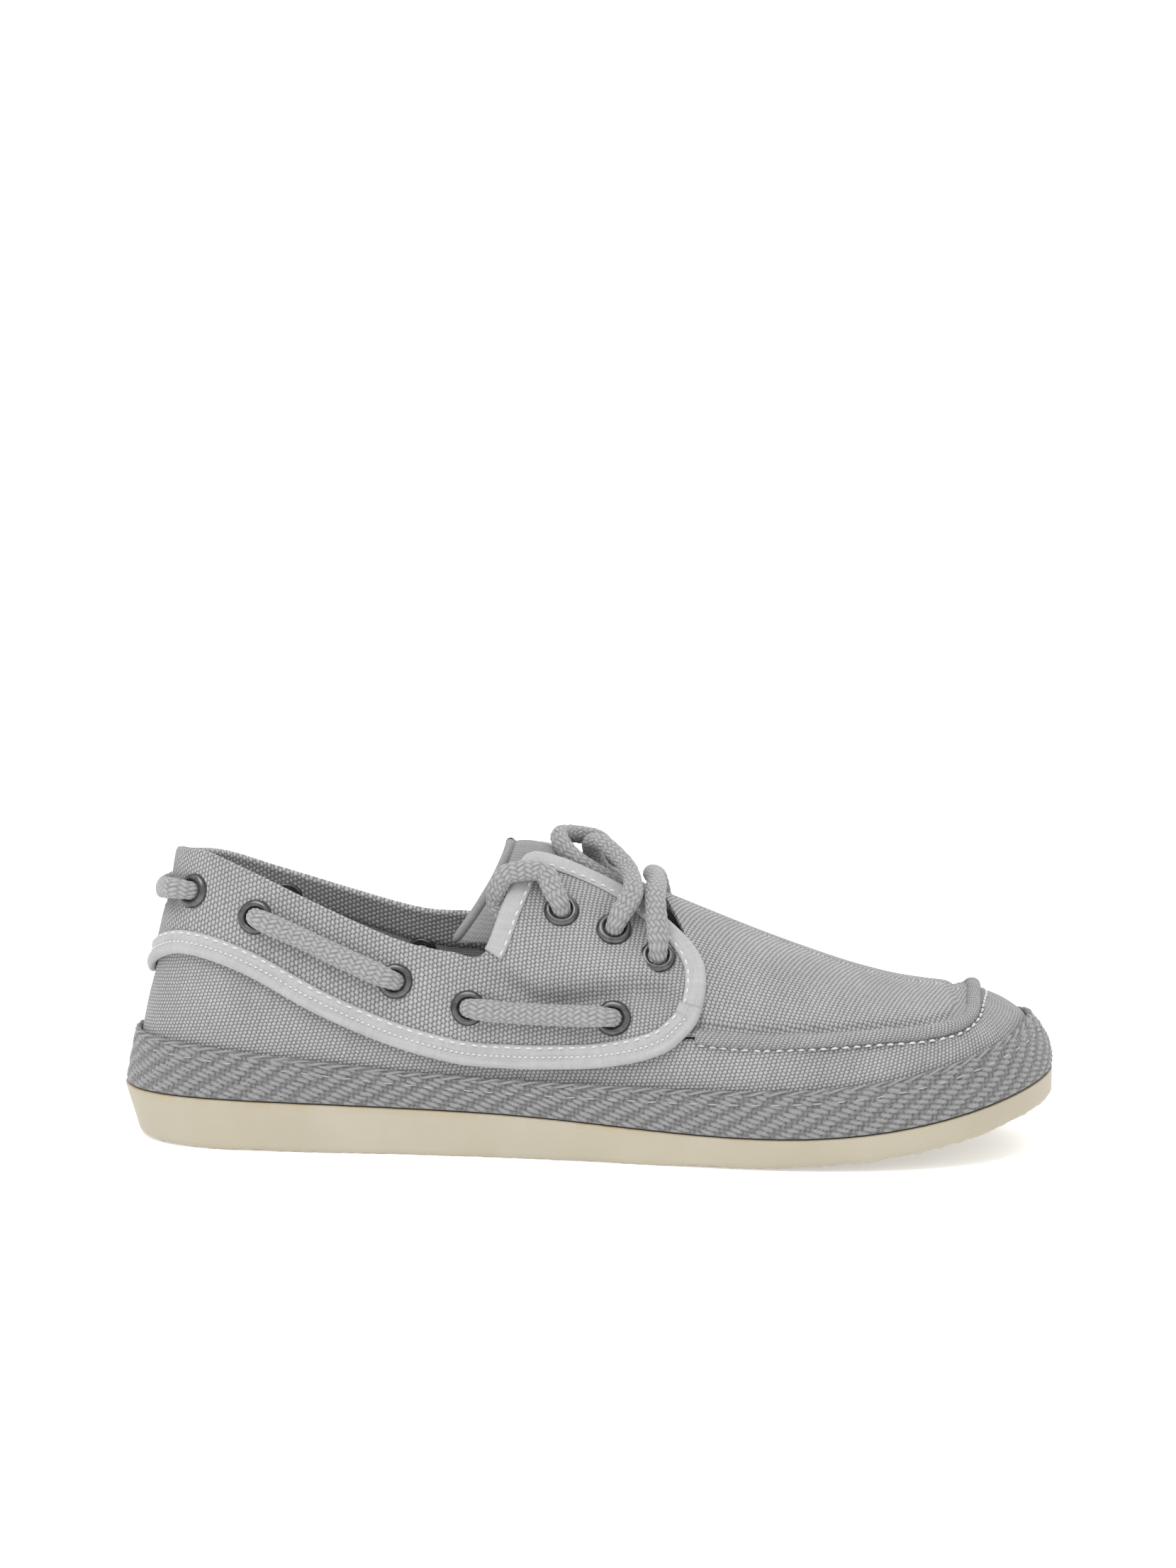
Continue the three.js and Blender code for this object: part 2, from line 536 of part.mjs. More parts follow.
function eyelet() {
  const [bore, flange] = [EYELET_BORE / 2, EYELET_OUTER / 2];
  const face = QUARTER_OUT + GAP;
  const profile = [
    [bore, FLANGE_BACK - FLANGE], [flange - 0.4, FLANGE_BACK - FLANGE], [flange - 0.4, FLANGE_BACK],
    [barrelOuter, FLANGE_BACK], [barrelOuter, face], [flange, face], [flange - 0.3, face + FLANGE],
    [bore, face + FLANGE], [bore, FLANGE_BACK - FLANGE],
  ].map(([x, y]) => new THREE.Vector2(x, y));
  return new THREE.LatheGeometry(profile, EYELET_SIDES);
}

// ---- Tongue --------------------------------------------------------------------------------
// back runs from 0 at the root to 1 at the rear edge, across from -1 to 1, over the thickness.
function tonguePoint(back, across, lift) {
  const rear = TONGUE_REAR - TONGUE_REAR_SWEEP * across ** 2;
  const place = 1 - back;
  const x = lerp(TONGUE_ROOT, rear, back);
  const drop = listAt(TONGUE_DROP, place) * Math.abs(across) ** TONGUE_ARCH;
  return new THREE.Vector3(x, across * listAt(TONGUE_HALF, place), listAt(TONGUE_RIDGE, place) - drop + lift);
}

function tongueAt(back, across, depth) {
  const d = 0.01;
  const [b, a] = [clamp(back, d, 1 - d), clamp(across, -1 + d, 1 - d)];
  const run = tonguePoint(b + d, a, 0).sub(tonguePoint(b - d, a, 0));
  const span = tonguePoint(b, a + d, 0).sub(tonguePoint(b, a - d, 0));
  return tonguePoint(back, across, 0).addScaledVector(span.cross(run).normalize(), depth);
}

const tongue = () => warp(12, 10, 1, (u, v, w) => tongueAt(u, 2 * v - 1, TONGUE_THICK * (w - 1)));

function tongueRoll() {
  const reach = 1 + (TONGUE_THICK / 2 + GAP + 0.4) / (TONGUE_ROOT - TONGUE_REAR);
  const edge = Array.from({ length: 13 }, (_, i) => tongueAt(reach, (i - 6) / 6, -TONGUE_THICK / 2));
  return tube(edge, TONGUE_THICK / 2, 8, 1);
}

// ---- Laces ---------------------------------------------------------------------------------
// The lace through one eyelet, entering from the `before` point's side of the canvas and
// leaving towards `after`; outwards is +1 where it comes out of the shoe and -1 where it goes in.
function through(side, [s, t], outwards, before, after) {
  const centre = skin(side, s, t, (QUARTER_OUT + FLANGE_BACK) / 2);
  const axis = formNormal(side, s, t).multiplyScalar(outwards);
  const half = (LACE_OUTSIDE - LACE_INSIDE) / 2;
  const lean = (towards) => {
    const way = towards.clone().sub(centre);
    return way.addScaledVector(axis, -way.dot(axis)).normalize();
  };
  const [from, to] = [lean(before), lean(after)];
  const at = (height, way, sidestep) => centre.clone().addScaledVector(axis, height).addScaledVector(way, sidestep);
  return [at(-half, from, 4.8), at(-half * 0.88, from, 1.7), at(-half * 0.48, from, 0.1), at(0, from, 0),
    at(half * 0.48, to, 0.1), at(half * 0.88, to, 1.7), at(half, to, 4.8)];
}

const spot = (side, s, t, out) => skin(side, s, t, out);

// Half of the collar lace: from the middle of the heel through the collar eyelets, up behind
// the flap, over its rear edge and into the first flap eyelet, where it ends inside.
function collarLaceHalf(side) {
  const [e1, e2, e3, e4, e5] = COLLAR_EYELETS;
  const [f1] = FLAP_EYELETS;
  const heel = spot(side, 0.045, 0.372, LACE_OUTSIDE);
  const in12 = spot(side, 0.137, 0.372, LACE_INSIDE);
  const out23 = spot(side, 0.247, 0.315, LACE_OUTSIDE + 0.6);
  const in34 = spot(side, 0.35, 0.26, LACE_INSIDE);
  const out45 = spot(side, 0.452, 0.262, LACE_OUTSIDE + 0.6);
  const climb = [spot(side, 0.487, 0.36, LACE_ON_LINING), spot(side, 0.447, 0.45, LACE_ON_LINING),
    spot(side, 0.418, 0.52, LACE_ON_LINING)];
  const hook = [spot(side, 0.405, 0.563, -2.6), spot(side, 0.4015, 0.6, 1.6), spot(side, 0.4085, 0.636, 5.8),
    spot(side, 0.427, 0.668, LACE_OUTSIDE + 0.5), spot(side, 0.448, 0.664, LACE_OUTSIDE + 0.5)];
  const tail = spot(side, 0.488, 0.53, LACE_INSIDE);
  return [heel,
    ...through(side, e1, -1, heel, in12), in12, ...through(side, e2, 1, in12, out23), out23,
    ...through(side, e3, -1, out23, in34), in34, ...through(side, e4, 1, in34, out45), out45,
    ...through(side, e5, -1, out45, climb[0]), ...climb, ...hook,
    ...through(side, f1, -1, hook[4], tail)];
}

function collarLace() {
  const backOfHeel = spot(-1, 0, 0.368, LACE_OUTSIDE);
  const points = [...collarLaceHalf(-1).reverse(), backOfHeel, ...collarLaceHalf(1)];
  return tube(points, LACE / 2, 8, 1.25);
}

// Each half of the front lace's knot: up from the second flap eyelet, over the throat, and
// down between the flaps. The outer strand crosses in front, the inner one behind.
const OUTER_KNOT = [[14.2, -10.5, 83.4], [10, -5.8, 87.4], [5.2, -1, 90.3], [1.7, 2.7, 90], [1.9, 6, 85.8],
  [4.2, 5.6, 81.4], [8, 4.6, 78.6], [11, 3.5, 76]];
const INNER_KNOT = [[3.3, 12.2, 89.6], [-1.8, 8.6, 91.5], [-6.2, 4.6, 92.4], [-8.2, 0.8, 92.4], [-6.6, -3.4, 89.8],
  [-2.4, -5.4, 85.8], [2.6, -5, 82.4], [7.5, -4.2, 79.4], [11, -3.4, 76.4]];
const AGLET_TIPS = [[14.8, 2.7, 72.6], [14.8, -2.7, 72.8]];
const vector = ([x, y, z]) => new THREE.Vector3(x, y, z);

function frontLaceHalf(side, rise, knot) {
  const [, f2, f3] = FLAP_EYELETS;
  const bar = [spot(side, 0.549, 0.9, LACE_OUTSIDE - 1.9), spot(side, 0.5495, 0.755, LACE_OUTSIDE + 0.2)];
  const inside = spot(side, 0.541, 0.582, LACE_INSIDE);
  return [bar[0], bar[1], ...through(side, f3, -1, bar[1], inside).slice(0, -1),
    ...through(side, f2, 1, inside, rise).slice(1), rise, ...knot.map(vector)];
}

function frontLace() {
  const crest = spot(1, 0.549, 1, LACE_OUTSIDE - 2.7);
  const outer = frontLaceHalf(-1, spot(-1, 0.529, 0.72, LACE_OUTSIDE + 0.8), OUTER_KNOT);
  const inner = frontLaceHalf(1, spot(1, 0.507, 0.73, LACE_OUTSIDE + 0.4), INNER_KNOT);
  return tube([...outer.reverse(), crest, ...inner], LACE / 2, 8, 1.5);
}

function aglet(knot, tip) {
  const [start, end] = [vector(knot.at(-1)), vector(tip)];
  const way = end.clone().sub(start).normalize();
  return tube([start.addScaledVector(way, GAP), end], LACE / 2 - AGLET_WALL, 8, 1);
}

// ---- Assembly ------------------------------------------------------------------------------
const shoe = new THREE.Group();

function add(name, geometry, look) {
  const [color, roughness, metalness] = colours[look];
  const mesh = new THREE.Mesh(geometry, new THREE.MeshStandardMaterial({ color, roughness, metalness }));
  mesh.name = name;
  shoe.add(mesh);
  return mesh;
}

add('outsole', outsole(), 'rubber');
add('insole_board', insoleBoard(), 'board');
add('foam_footbed', footbed(), 'foam');
add('sock_liner', sock(), 'sock');
add('foxing_tape', foxingTape(), 'tape');
add('side_wall', sideWall(), 'canvas');
add('heel_counter', heelCounter(), 'stiffener');
add('toe_puff', toePuff(), 'stiffener');
add('apron', apron(), 'canvas');
add('apron_piping', apronPiping(), 'canvas');
add('vamp_lining', vampLining(), 'lining');

for (const [side, name] of [[-1, 'lateral'], [1, 'medial']]) {
  add(`quarter_${name}`, quarter(side), 'canvas');
  add(`lower_binding_${name}`, lowerBinding(side), 'binding');
  add(`flap_binding_${name}`, flapBinding(side), 'binding');
  add(`collar_lining_${name}`, collarLining(side), 'lining');
  [...COLLAR_EYELETS, ...FLAP_EYELETS].forEach(([s, t], i) => {
    const ring = add(`eyelet_${name}_${i + 1}`, eyelet(), 'gunmetal');
    ring.applyMatrix4(eyeletPose(side, s, t));
  });
}

add('tongue', tongue(), 'canvas');
add('tongue_edge_roll', tongueRoll(), 'binding');
add('collar_lace', collarLace(), 'lace');
add('front_lace', frontLace(), 'lace');
add('aglet_outer', aglet(OUTER_KNOT, AGLET_TIPS[0]), 'aglet');
add('aglet_inner', aglet(INNER_KNOT, AGLET_TIPS[1]), 'aglet');

export default shoe;
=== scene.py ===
"""The looks of a grey canvas deck shoe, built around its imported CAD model. Shape maths is in
millimetres, in the CAD's frame: +X to the toe, +Z up, -Y to the outer side of the foot."""

import math

import bmesh
import bpy
import numpy as np
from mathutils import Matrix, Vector


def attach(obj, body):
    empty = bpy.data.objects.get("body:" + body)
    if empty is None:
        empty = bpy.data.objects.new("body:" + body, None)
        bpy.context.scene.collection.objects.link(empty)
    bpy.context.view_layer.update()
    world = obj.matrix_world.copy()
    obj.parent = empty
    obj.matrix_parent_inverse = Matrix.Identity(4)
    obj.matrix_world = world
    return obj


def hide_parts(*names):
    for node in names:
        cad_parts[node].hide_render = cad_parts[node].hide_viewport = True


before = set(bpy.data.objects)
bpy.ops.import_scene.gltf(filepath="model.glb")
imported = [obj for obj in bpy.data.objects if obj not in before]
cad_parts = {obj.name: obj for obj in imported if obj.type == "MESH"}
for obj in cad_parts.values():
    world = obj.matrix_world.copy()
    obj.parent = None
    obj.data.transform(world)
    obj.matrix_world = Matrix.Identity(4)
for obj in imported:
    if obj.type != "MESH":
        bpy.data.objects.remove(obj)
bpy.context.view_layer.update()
MM = 0.001

# ---- The shoe's dimensions and shape lists, as in the CAD part -------------------------------
LENGTH, WIDTH, INSTEP, SOLE, TAPE = 285, 98, 128, 15.6, 14.5
FEATHER_INSET, GAP, HEEL_RAKE = 3.4, 0.4, 4.5
WALL_OUT, QUARTER_IN, QUARTER_OUT = 1.0, 1.4, 2.4
LINING_OUT, LINING, COLLAR_LINING_OUT = -1.5, 0.8, 0.6
FLANGE_BACK = COLLAR_LINING_OUT - LINING - 2.2 * GAP
LACE = 5.4
LACE_OUTSIDE = 3.6 + GAP + LACE / 2 + 0.5
LACE_INSIDE = FLANGE_BACK - 0.7 - GAP - LACE / 2 - 0.2
LACE_ON_LINING = COLLAR_LINING_OUT - LINING - 1.5 * GAP - LACE / 2
OUTLINE = [
    [-1.03, 0], [-0.96, -0.54], [-0.76, -0.73], [-0.46, -0.73], [-0.15, -0.76], [0.17, -0.9],
    [0.45, -1.03], [0.72, -0.98], [0.935, -0.66], [1.045, 0.06], [0.955, 0.7], [0.75, 0.95],
    [0.49, 1.02], [0.22, 0.87], [-0.07, 0.66], [-0.38, 0.61], [-0.69, 0.69], [-0.94, 0.54],
]
SPRING = [0.6, 0, 0, 0, 0, 0, 0, 1.6, 6.3, 15]
SOLE_SHAPE = [0.97, 0.975, 0.94, 0.885, 0.83, 0.68, 0.565, 0.5, 0.5, 0.51]
TAPE_SHAPE = [1.17, 1.07, 0.9, 0.76, 0.72, 0.855, 0.965, 0.98, 1, 1.07]
RIDGE_SHAPE = [1, 0.961, 0.883, 0.793, 0.707, 0.605, 0.502, 0.406, 0.344, 0.324]
RIDGE_SIDE = [0, 0, 0, 0, 0, 1, 3, 4, 4, 4]
BULGE = [-10.5, -5, -1.5, 0, 0.5, 0.8, 1.2, 1.8, 2.2, 2.4]
RIDGE_HEEL, RIDGE_TOE, PIVOT_SOFTNESS = -0.835, 0.68, 14
WALL_TOP = [
    [0, 0.24], [0.05, 0.272], [0.105, 0.29], [0.17, 0.272], [0.245, 0.225], [0.315, 0.18],
    [0.37, 0.159], [0.43, 0.16], [0.48, 0.174], [0.52, 0.194], [0.555, 0.238], [0.588, 0.297],
    [0.62, 0.313], [0.661, 0.339], [0.713, 0.388], [0.767, 0.436], [0.82, 0.458], [0.854, 0.478],
    [0.88, 0.517], [0.905, 0.574], [0.93, 0.63], [0.96, 0.668], [1, 0.686],
]
QUARTER_LOW = [
    [0, 0.197], [0.05, 0.232], [0.105, 0.26], [0.17, 0.241], [0.245, 0.18], [0.315, 0.135],
    [0.37, 0.114], [0.4, 0.113], [0.412, 0.115], [0.425, 0.118], [0.437, 0.121], [0.46, 0.13],
    [0.5, 0.152], [0.535, 0.185], [0.558, 0.218], [0.575, 0.255], [0.588, 0.305], [0.597, 0.352],
    [0.6015, 0.4],
]
QUARTER_HIGH = [
    [0, 0.461], [0.055, 0.464], [0.113, 0.476], [0.175, 0.449], [0.248, 0.405], [0.318, 0.369],
    [0.367, 0.369], [0.3985, 0.386], [0.416, 0.55], [0.426, 0.68], [0.433, 0.785], [0.45, 0.831],
    [0.488, 0.838], [0.523, 0.81], [0.5605, 0.732], [0.587, 0.656], [0.6005, 0.578], [0.6035, 0.484],
    [0.6005, 0.395],
]
INNER_RIM_LIFT = [0, -0.012, -0.03, -0.03, -0.008, 0.018, 0.04, 0.03]
QUARTER_SPANS, FLAP_START, FLAP_FRONT = len(QUARTER_HIGH) - 1, 7, 15
PATTERN_LENGTH = 372    # millimetres from heel to toe along the pattern, s from 0 to 1
COLLAR_EYELETS = [(0.107, 0.383), (0.181, 0.353), (0.3165, 0.273), (0.3855, 0.2415), (0.522, 0.301)]
FLAP_EYELETS = [(0.4685, 0.594), (0.518, 0.594), (0.5602, 0.5475)]
EYELETS = COLLAR_EYELETS + FLAP_EYELETS
APRON_REAR, APRON_REAR_RIDGE = 0.588, 0.56
TONGUE_REAR, TONGUE_ROOT, TONGUE_REAR_SWEEP, TONGUE_ARCH, TONGUE_THICK = -22, 27, 16, 1.4, 2.6
TONGUE_RIDGE = [91.3, 91.1, 89.5, 85.5, 79, 72.5, 67.8, 65.5, 64]
TONGUE_HALF = [14.5, 14.5, 14.8, 15.2, 15.9, 16.8, 17.6, 18.2, 18.8]
TONGUE_DROP = [30, 30, 28, 25, 21, 17, 13, 10, 8]
SIDES = {-1: "lateral", 1: "medial"}


# ---- Curves and small maths ------------------------------------------------------------------
def lerp(a, b, share):
    return a + (b - a) * share


def smooth(x, low, high):
    share = np.clip((x - low) / (high - low), 0, 1)
    return share * share * (3 - 2 * share)


def hump(x, centre, width):
    return np.exp(-(((x - centre) / width) ** 2))


def unit(v):
    return v / np.maximum(np.linalg.norm(v, axis=-1, keepdims=True), 1e-12)


def run_along(path):
    """Running length at each point of a path."""
    return np.concatenate([[0], np.cumsum(np.linalg.norm(np.diff(path, axis=0), axis=1))])


def spline_weights(f):
    g = 1 - f
    return g**3 / 6, (3 * f**3 - 6 * f**2 + 4) / 6, (-3 * f**3 + 3 * f**2 + 3 * f + 1) / 6, f**3 / 6


def list_at(values, fraction):
    """Smooth value of an evenly spaced list at a fraction from 0 to 1 of its length."""
    v = np.asarray(values, float)
    whole = np.concatenate([[2 * v[0] - v[1]], v, [2 * v[-1] - v[-2]]])
    at = np.clip(fraction, 0, 1) * (len(v) - 1)
    i = np.minimum(np.floor(at).astype(int), len(v) - 2)
    return sum(w * whole[i + k] for k, w in enumerate(spline_weights(at - i)))


def along(values, x):
    return list_at(values, np.asarray(x) / LENGTH + 0.5)


def outline_loop(count=2880):
    knots = np.array(OUTLINE, float)
    at = np.arange(count) / count * len(knots)
    i = np.floor(at).astype(int)
    weights = spline_weights(at - i)
    loop = sum(w[:, None] * knots[(i + k - 1) % len(knots)] for k, w in enumerate(weights))
    low, high = loop.min(0), loop.max(0)
    return (loop - (low + high) / 2) * [LENGTH, WIDTH] / (high - low)


SOLE_LOOP = outline_loop()


class Edge:
    """The sole's outline moved in by a distance, walked by arc length from the heel centre."""

    def __init__(self, inset):
        ahead = unit(np.roll(SOLE_LOOP, -1, 0) - np.roll(SOLE_LOOP, 1, 0))
        loop = SOLE_LOOP + inset * np.stack([-ahead[:, 1], ahead[:, 0]], 1)
        self.closed = np.vstack([loop, loop[:1]])
        self.run = run_along(self.closed)
        self.total = self.run[-1]
        self.outer = self.run[loop[:, 0].argmax()]
        self.inner = self.total - self.outer

    def at(self, side, s):
        walk = np.where(np.asarray(side) < 0, s * self.outer, self.total - s * self.inner) % self.total
        return np.stack([np.interp(walk, self.run, self.closed[:, k]) for k in (0, 1)], -1)


FEATHER = Edge(FEATHER_INSET)


def curve_at(points, s):
    """Height at s of a smooth curve given as a list of (s, t) points."""
    p = np.array(points, float)
    slopes = (np.append(p[1:, 1], p[-1, 1]) - np.insert(p[:-1, 1], 0, p[0, 1])) / (
        np.append(p[1:, 0], p[-1, 0]) - np.insert(p[:-1, 0], 0, p[0, 0]))
    i = np.clip(np.searchsorted(p[:, 0], s, side="right") - 1, 0, len(p) - 2)
    width = p[i + 1, 0] - p[i, 0]
    f = np.clip((s - p[i, 0]) / width, 0, 1)
    return ((2 * f**3 - 3 * f**2 + 1) * p[i, 1] + (f**3 - 2 * f**2 + f) * width * slopes[i]
            + (3 * f**2 - 2 * f**3) * p[i + 1, 1] + (f**3 - f**2) * width * slopes[i + 1])


def planar(points, u):
    """A uniform spline through (s, t) points, at u from 0 to 1."""
    p = np.array(points, float)
    at = np.clip(u, 0, 1) * (len(p) - 1)
    i = np.minimum(np.floor(at).astype(int), len(p) - 2)
    f = (at - i)[..., None]
    p0, p1, p2, p3 = (p[np.clip(i + k, 0, len(p) - 1)] for k in (-1, 0, 1, 2))
    v0, v1 = (p2 - p0) / 2, (p3 - p1) / 2
    return (2 * p1 - 2 * p2 + v0 + v1) * f**3 + (-3 * p1 + 3 * p2 - 2 * v0 - v1) * f**2 + v0 * f + p1


def route(points, spacing):
    """A centripetal spline through points: evenly spaced places and the length run at each."""
    p = np.asarray(points, float)
    p = np.vstack([2 * p[0] - p[1], p, 2 * p[-1] - p[-2]])
    steps = np.linspace(0, 1, 24, endpoint=False)[:, None]
    path = []
    for i in range(1, len(p) - 2):
        p0, p1, p2, p3 = p[i - 1:i + 3]
        pairs = ((p0, p1), (p1, p2), (p2, p3))
        d0, d1, d2 = (max(np.linalg.norm(b[:3] - a[:3]), 1e-4) ** 0.5 for a, b in pairs)
        m1 = ((p1 - p0) / d0 - (p2 - p0) / (d0 + d1) + (p2 - p1) / d1) * d1
        m2 = ((p2 - p1) / d1 - (p3 - p1) / (d1 + d2) + (p3 - p2) / d2) * d1
        path.append((2 * p1 - 2 * p2 + m1 + m2) * steps**3 + (3 * p2 - 3 * p1 - 2 * m1 - m2) * steps**2
                    + m1 * steps + p1)
    path = np.vstack([*path, p[-2:-1]])
    run = run_along(path[:, :3])
    even = np.linspace(0, run[-1], int(run[-1] / spacing) + 1)
    return np.stack([np.interp(even, run, column) for column in path.T], 1), even


def ripple(u, v, size, seed):
    """Smooth noise from -1 to 1 over a plane, with bumps about `size` across."""
    table = np.random.default_rng(seed).uniform(-1, 1, (64, 64))
    a, b = np.asarray(u) / size, np.asarray(v) / size
    i, j = np.floor(a).astype(int), np.floor(b).astype(int)
    f, g = a - i, b - j
    f, g = f * f * (3 - 2 * f), g * g * (3 - 2 * g)
    near = lerp(table[i % 64, j % 64], table[(i + 1) % 64, j % 64], f)
    far = lerp(table[i % 64, (j + 1) % 64], table[(i + 1) % 64, (j + 1) % 64], f)
    return lerp(near, far, g)


# ---- Foot form -------------------------------------------------------------------------------
def tread(x):
    return along(SPRING, x)


def sole_top(x):
    return tread(x) + SOLE * along(SOLE_SHAPE, x)


def ridge(x):
    return INSTEP * along(RIDGE_SHAPE, x)


def soft_clamp(x, low, high):
    def knee(v):
        return PIVOT_SOFTNESS * np.log1p(np.exp(np.clip(v / PIVOT_SOFTNESS, -50, 50)))
    return low + knee(x - low) - knee(x - high)


def form_point(side, s, t):
    foot = FEATHER.at(side, s)
    x = soft_clamp(foot[..., 0], RIDGE_HEEL * LENGTH / 2, RIDGE_TOE * LENGTH / 2)
    reach = np.stack([x, along(RIDGE_SIDE, x)], -1) - foot
    angle = t * math.pi / 2
    length = np.linalg.norm(reach, axis=-1)
    share = 1 - np.cos(angle) - along(BULGE, foot[..., 0]) * np.sin(2 * angle) / length
    low = sole_top(foot[..., 0]) + GAP
    flat = foot + reach * share[..., None]
    return np.stack([flat[..., 0], flat[..., 1], low + (ridge(x) - low) * np.sin(angle)], -1)


def form_normal(side, s, t):
    ds, dt = 0.004, 0.01
    level = np.clip(t, dt, 0.94)
    run = form_point(side, s + ds, level) - form_point(side, s - ds, level)
    rise = form_point(side, s, level + dt) - form_point(side, s, level - dt)
    normal = unit(np.cross(run, rise) * -np.asarray(side, float)[..., None])
    x = form_point(side, s, np.ones_like(t))[..., 0]
    slope = ridge(x - 1) - ridge(x + 1)
    top = unit(np.stack([slope, 0 * slope, 0 * slope + 2], -1))
    normal = lerp(normal, top, smooth(t, 0.86, 1)[..., None])
    normal[..., 2] *= np.clip(t / 0.08, 0, 1)
    return unit(normal)


def spread(side, s, t, out=0.0):
    side, s, t, out = np.broadcast_arrays(side, s, t, out)
    return side.astype(float), s.astype(float), t.astype(float), out.astype(float)


def skin(side, s, t, out=0.0):
    """A point of the upper at pattern position (s, t), `out` away from the foot form."""
    side, s, t, out = spread(side, s, t, out)
    base = form_point(side, s, t)
    point = base + form_normal(side, s, t) * out[..., None]
    foot = FEATHER.at(side, s)[..., 0]
    shift = sole_top(foot + point[..., 0] - base[..., 0]) - sole_top(foot)
    point[..., 2] += shift * np.clip(1 - t / 0.12, 0, 1)
    return point


def normal_at(side, s, t):
    side, s, t, _ = spread(side, s, t)
    return form_normal(side, s, t)


def level_at(side, s, height):
    foot = FEATHER.at(side, s)[..., 0]
    x = soft_clamp(foot, RIDGE_HEEL * LENGTH / 2, RIDGE_TOE * LENGTH / 2)
    return np.arcsin(height / (ridge(x) - sole_top(foot) - GAP)) * 2 / math.pi


def wall_top(s):
    return curve_at(WALL_TOP, s)


def quarter_top(side):
    lift = INNER_RIM_LIFT if side > 0 else [0]
    return [[s, t + (lift[i] if i < len(lift) else 0)] for i, (s, t) in enumerate(QUARTER_HIGH)]


def tape_top(side, s):
    return level_at(side, s, TAPE * along(TAPE_SHAPE, FEATHER.at(side, s)[..., 0]))


def aside(side, curve, u, distance):
    """(s, t) moved `distance` mm square to a pattern curve, towards its left or right."""
    at = planar(curve, u)
    v = np.clip(u, 0.002, 0.998)
    ahead = planar(curve, v + 0.002) - planar(curve, v - 0.002)
    s, t = at[..., 0], at[..., 1]
    per_s = (skin(side, s + 0.005, t) - skin(side, s - 0.005, t)) / 0.01
    per_t = (skin(side, s, t + 0.005) - skin(side, s, t - 0.005)) / 0.01
    ss, st, tt = (per_s * per_s).sum(-1), (per_s * per_t).sum(-1), (per_t * per_t).sum(-1)
    area = np.sqrt(ss * tt - st * st)
    a, b = ahead[..., 0], ahead[..., 1]
    k = distance / (np.sqrt(ss * a * a + 2 * st * a * b + tt * b * b) * area)
    return s - k * (st * a + tt * b), t + k * (ss * a + st * b)


# ---- Meshes ----------------------------------------------------------------------------------
class Build:
    """Grids of points gathered into one mesh. uv is in pattern millimetres; relief is a number
    per point that materials read: the yarn looks paint shade where it is low, and the rubber look
    paints its glue stain by it."""

    def __init__(self):
        self.points, self.quads, self.uvs, self.relief, self.count = [], [], [], [], 0

    def grid(self, points, uv, relief=0.0):
        rows, columns = points.shape[:2]
        ids = self.count + np.arange(rows * columns).reshape(rows, columns)

        def corners(a):
            return np.stack([a[:-1, :-1], a[1:, :-1], a[1:, 1:], a[:-1, 1:]], 2)
        self.quads.append(corners(ids).reshape(-1, 4))
        self.uvs.append(corners(uv).reshape(-1, 4, 2))
        self.points.append(points.reshape(-1, 3))
        self.relief.append(np.broadcast_to(relief, (rows, columns)).ravel())
        self.count += rows * columns

    def tube(self, rings, uv, relief=0.0):
        """Rings of points, each closed by repeating its first point, with both ends capped."""
        self.grid(rings, uv, relief)
        half = (rings.shape[1] - 1) // 2
        for end in (0, -1):
            near, far = rings[end, :half], rings[end, -2:-2 - half:-1]
            flat = np.broadcast_to(uv[end, :1], (half, 2))
            level = np.broadcast_to(relief, rings.shape[:2])[end, 0]
            self.grid(np.stack([near, far]), np.stack([flat, flat]), level)

    def finish(self, name, look, slot, body="shoe", replaces=(), sharp=None):
        points, quads, uvs = map(np.concatenate, (self.points, self.quads, self.uvs))
        _, first, ids = np.unique(np.round(points * 1000).astype(np.int64), axis=0,
                                  return_index=True, return_inverse=True)
        quads = ids.ravel()[quads]
        same = quads == np.roll(quads, -1, 1)
        crossed = (quads[:, 0] == quads[:, 2]) | (quads[:, 1] == quads[:, 3])
        whole, pinched = (same.sum(1) == 0) & ~crossed, (same.sum(1) == 1) & ~crossed
        keep = ~same[pinched]
        faces = [single(quads[whole], uvs[whole]),
                 single(quads[pinched][keep].reshape(-1, 3), uvs[pinched][keep].reshape(-1, 3, 2))]
        mesh = bpy.data.meshes.new(name)
        mesh.vertices.add(len(first))
        mesh.vertices.foreach_set("co", (points[first] * MM).astype(np.float32).ravel())
        loops = np.concatenate([f.ravel() for f, _ in faces])
        totals = np.concatenate([np.full(len(f), f.shape[1]) for f, _ in faces])
        mesh.loops.add(len(loops))
        mesh.loops.foreach_set("vertex_index", loops.astype(np.int32))
        mesh.polygons.add(len(totals))
        mesh.polygons.foreach_set("loop_start", (np.cumsum(totals) - totals).astype(np.int32))
        layer = mesh.uv_layers.new(name="Pattern")
        mesh.update(calc_edges=True)
        corner_uvs = np.concatenate([u.reshape(-1, 2) for _, u in faces])
        layer.data.foreach_set("uv", corner_uvs.astype(np.float32).ravel())
        mark = mesh.attributes.new("relief", "FLOAT", "POINT")
        mark.data.foreach_set("value", np.concatenate(self.relief)[first].astype(np.float32))
        face_out(mesh)
        mesh.polygons.foreach_set("use_smooth", np.ones(len(totals), bool))
        if sharp:
            mesh.set_sharp_from_angle(angle=math.radians(sharp))
        mesh.materials.append(look)
        return place(bpy.data.objects.new(name, mesh), body, replaces)


def single(faces, uvs):
    """Faces of one kind without those that lie on each other."""
    if not len(faces):
        return faces, uvs
    _, back, times = np.unique(np.sort(faces, 1), axis=0, return_inverse=True, return_counts=True)
    alone = times[back.ravel()] == 1
    return faces[alone], uvs[alone]


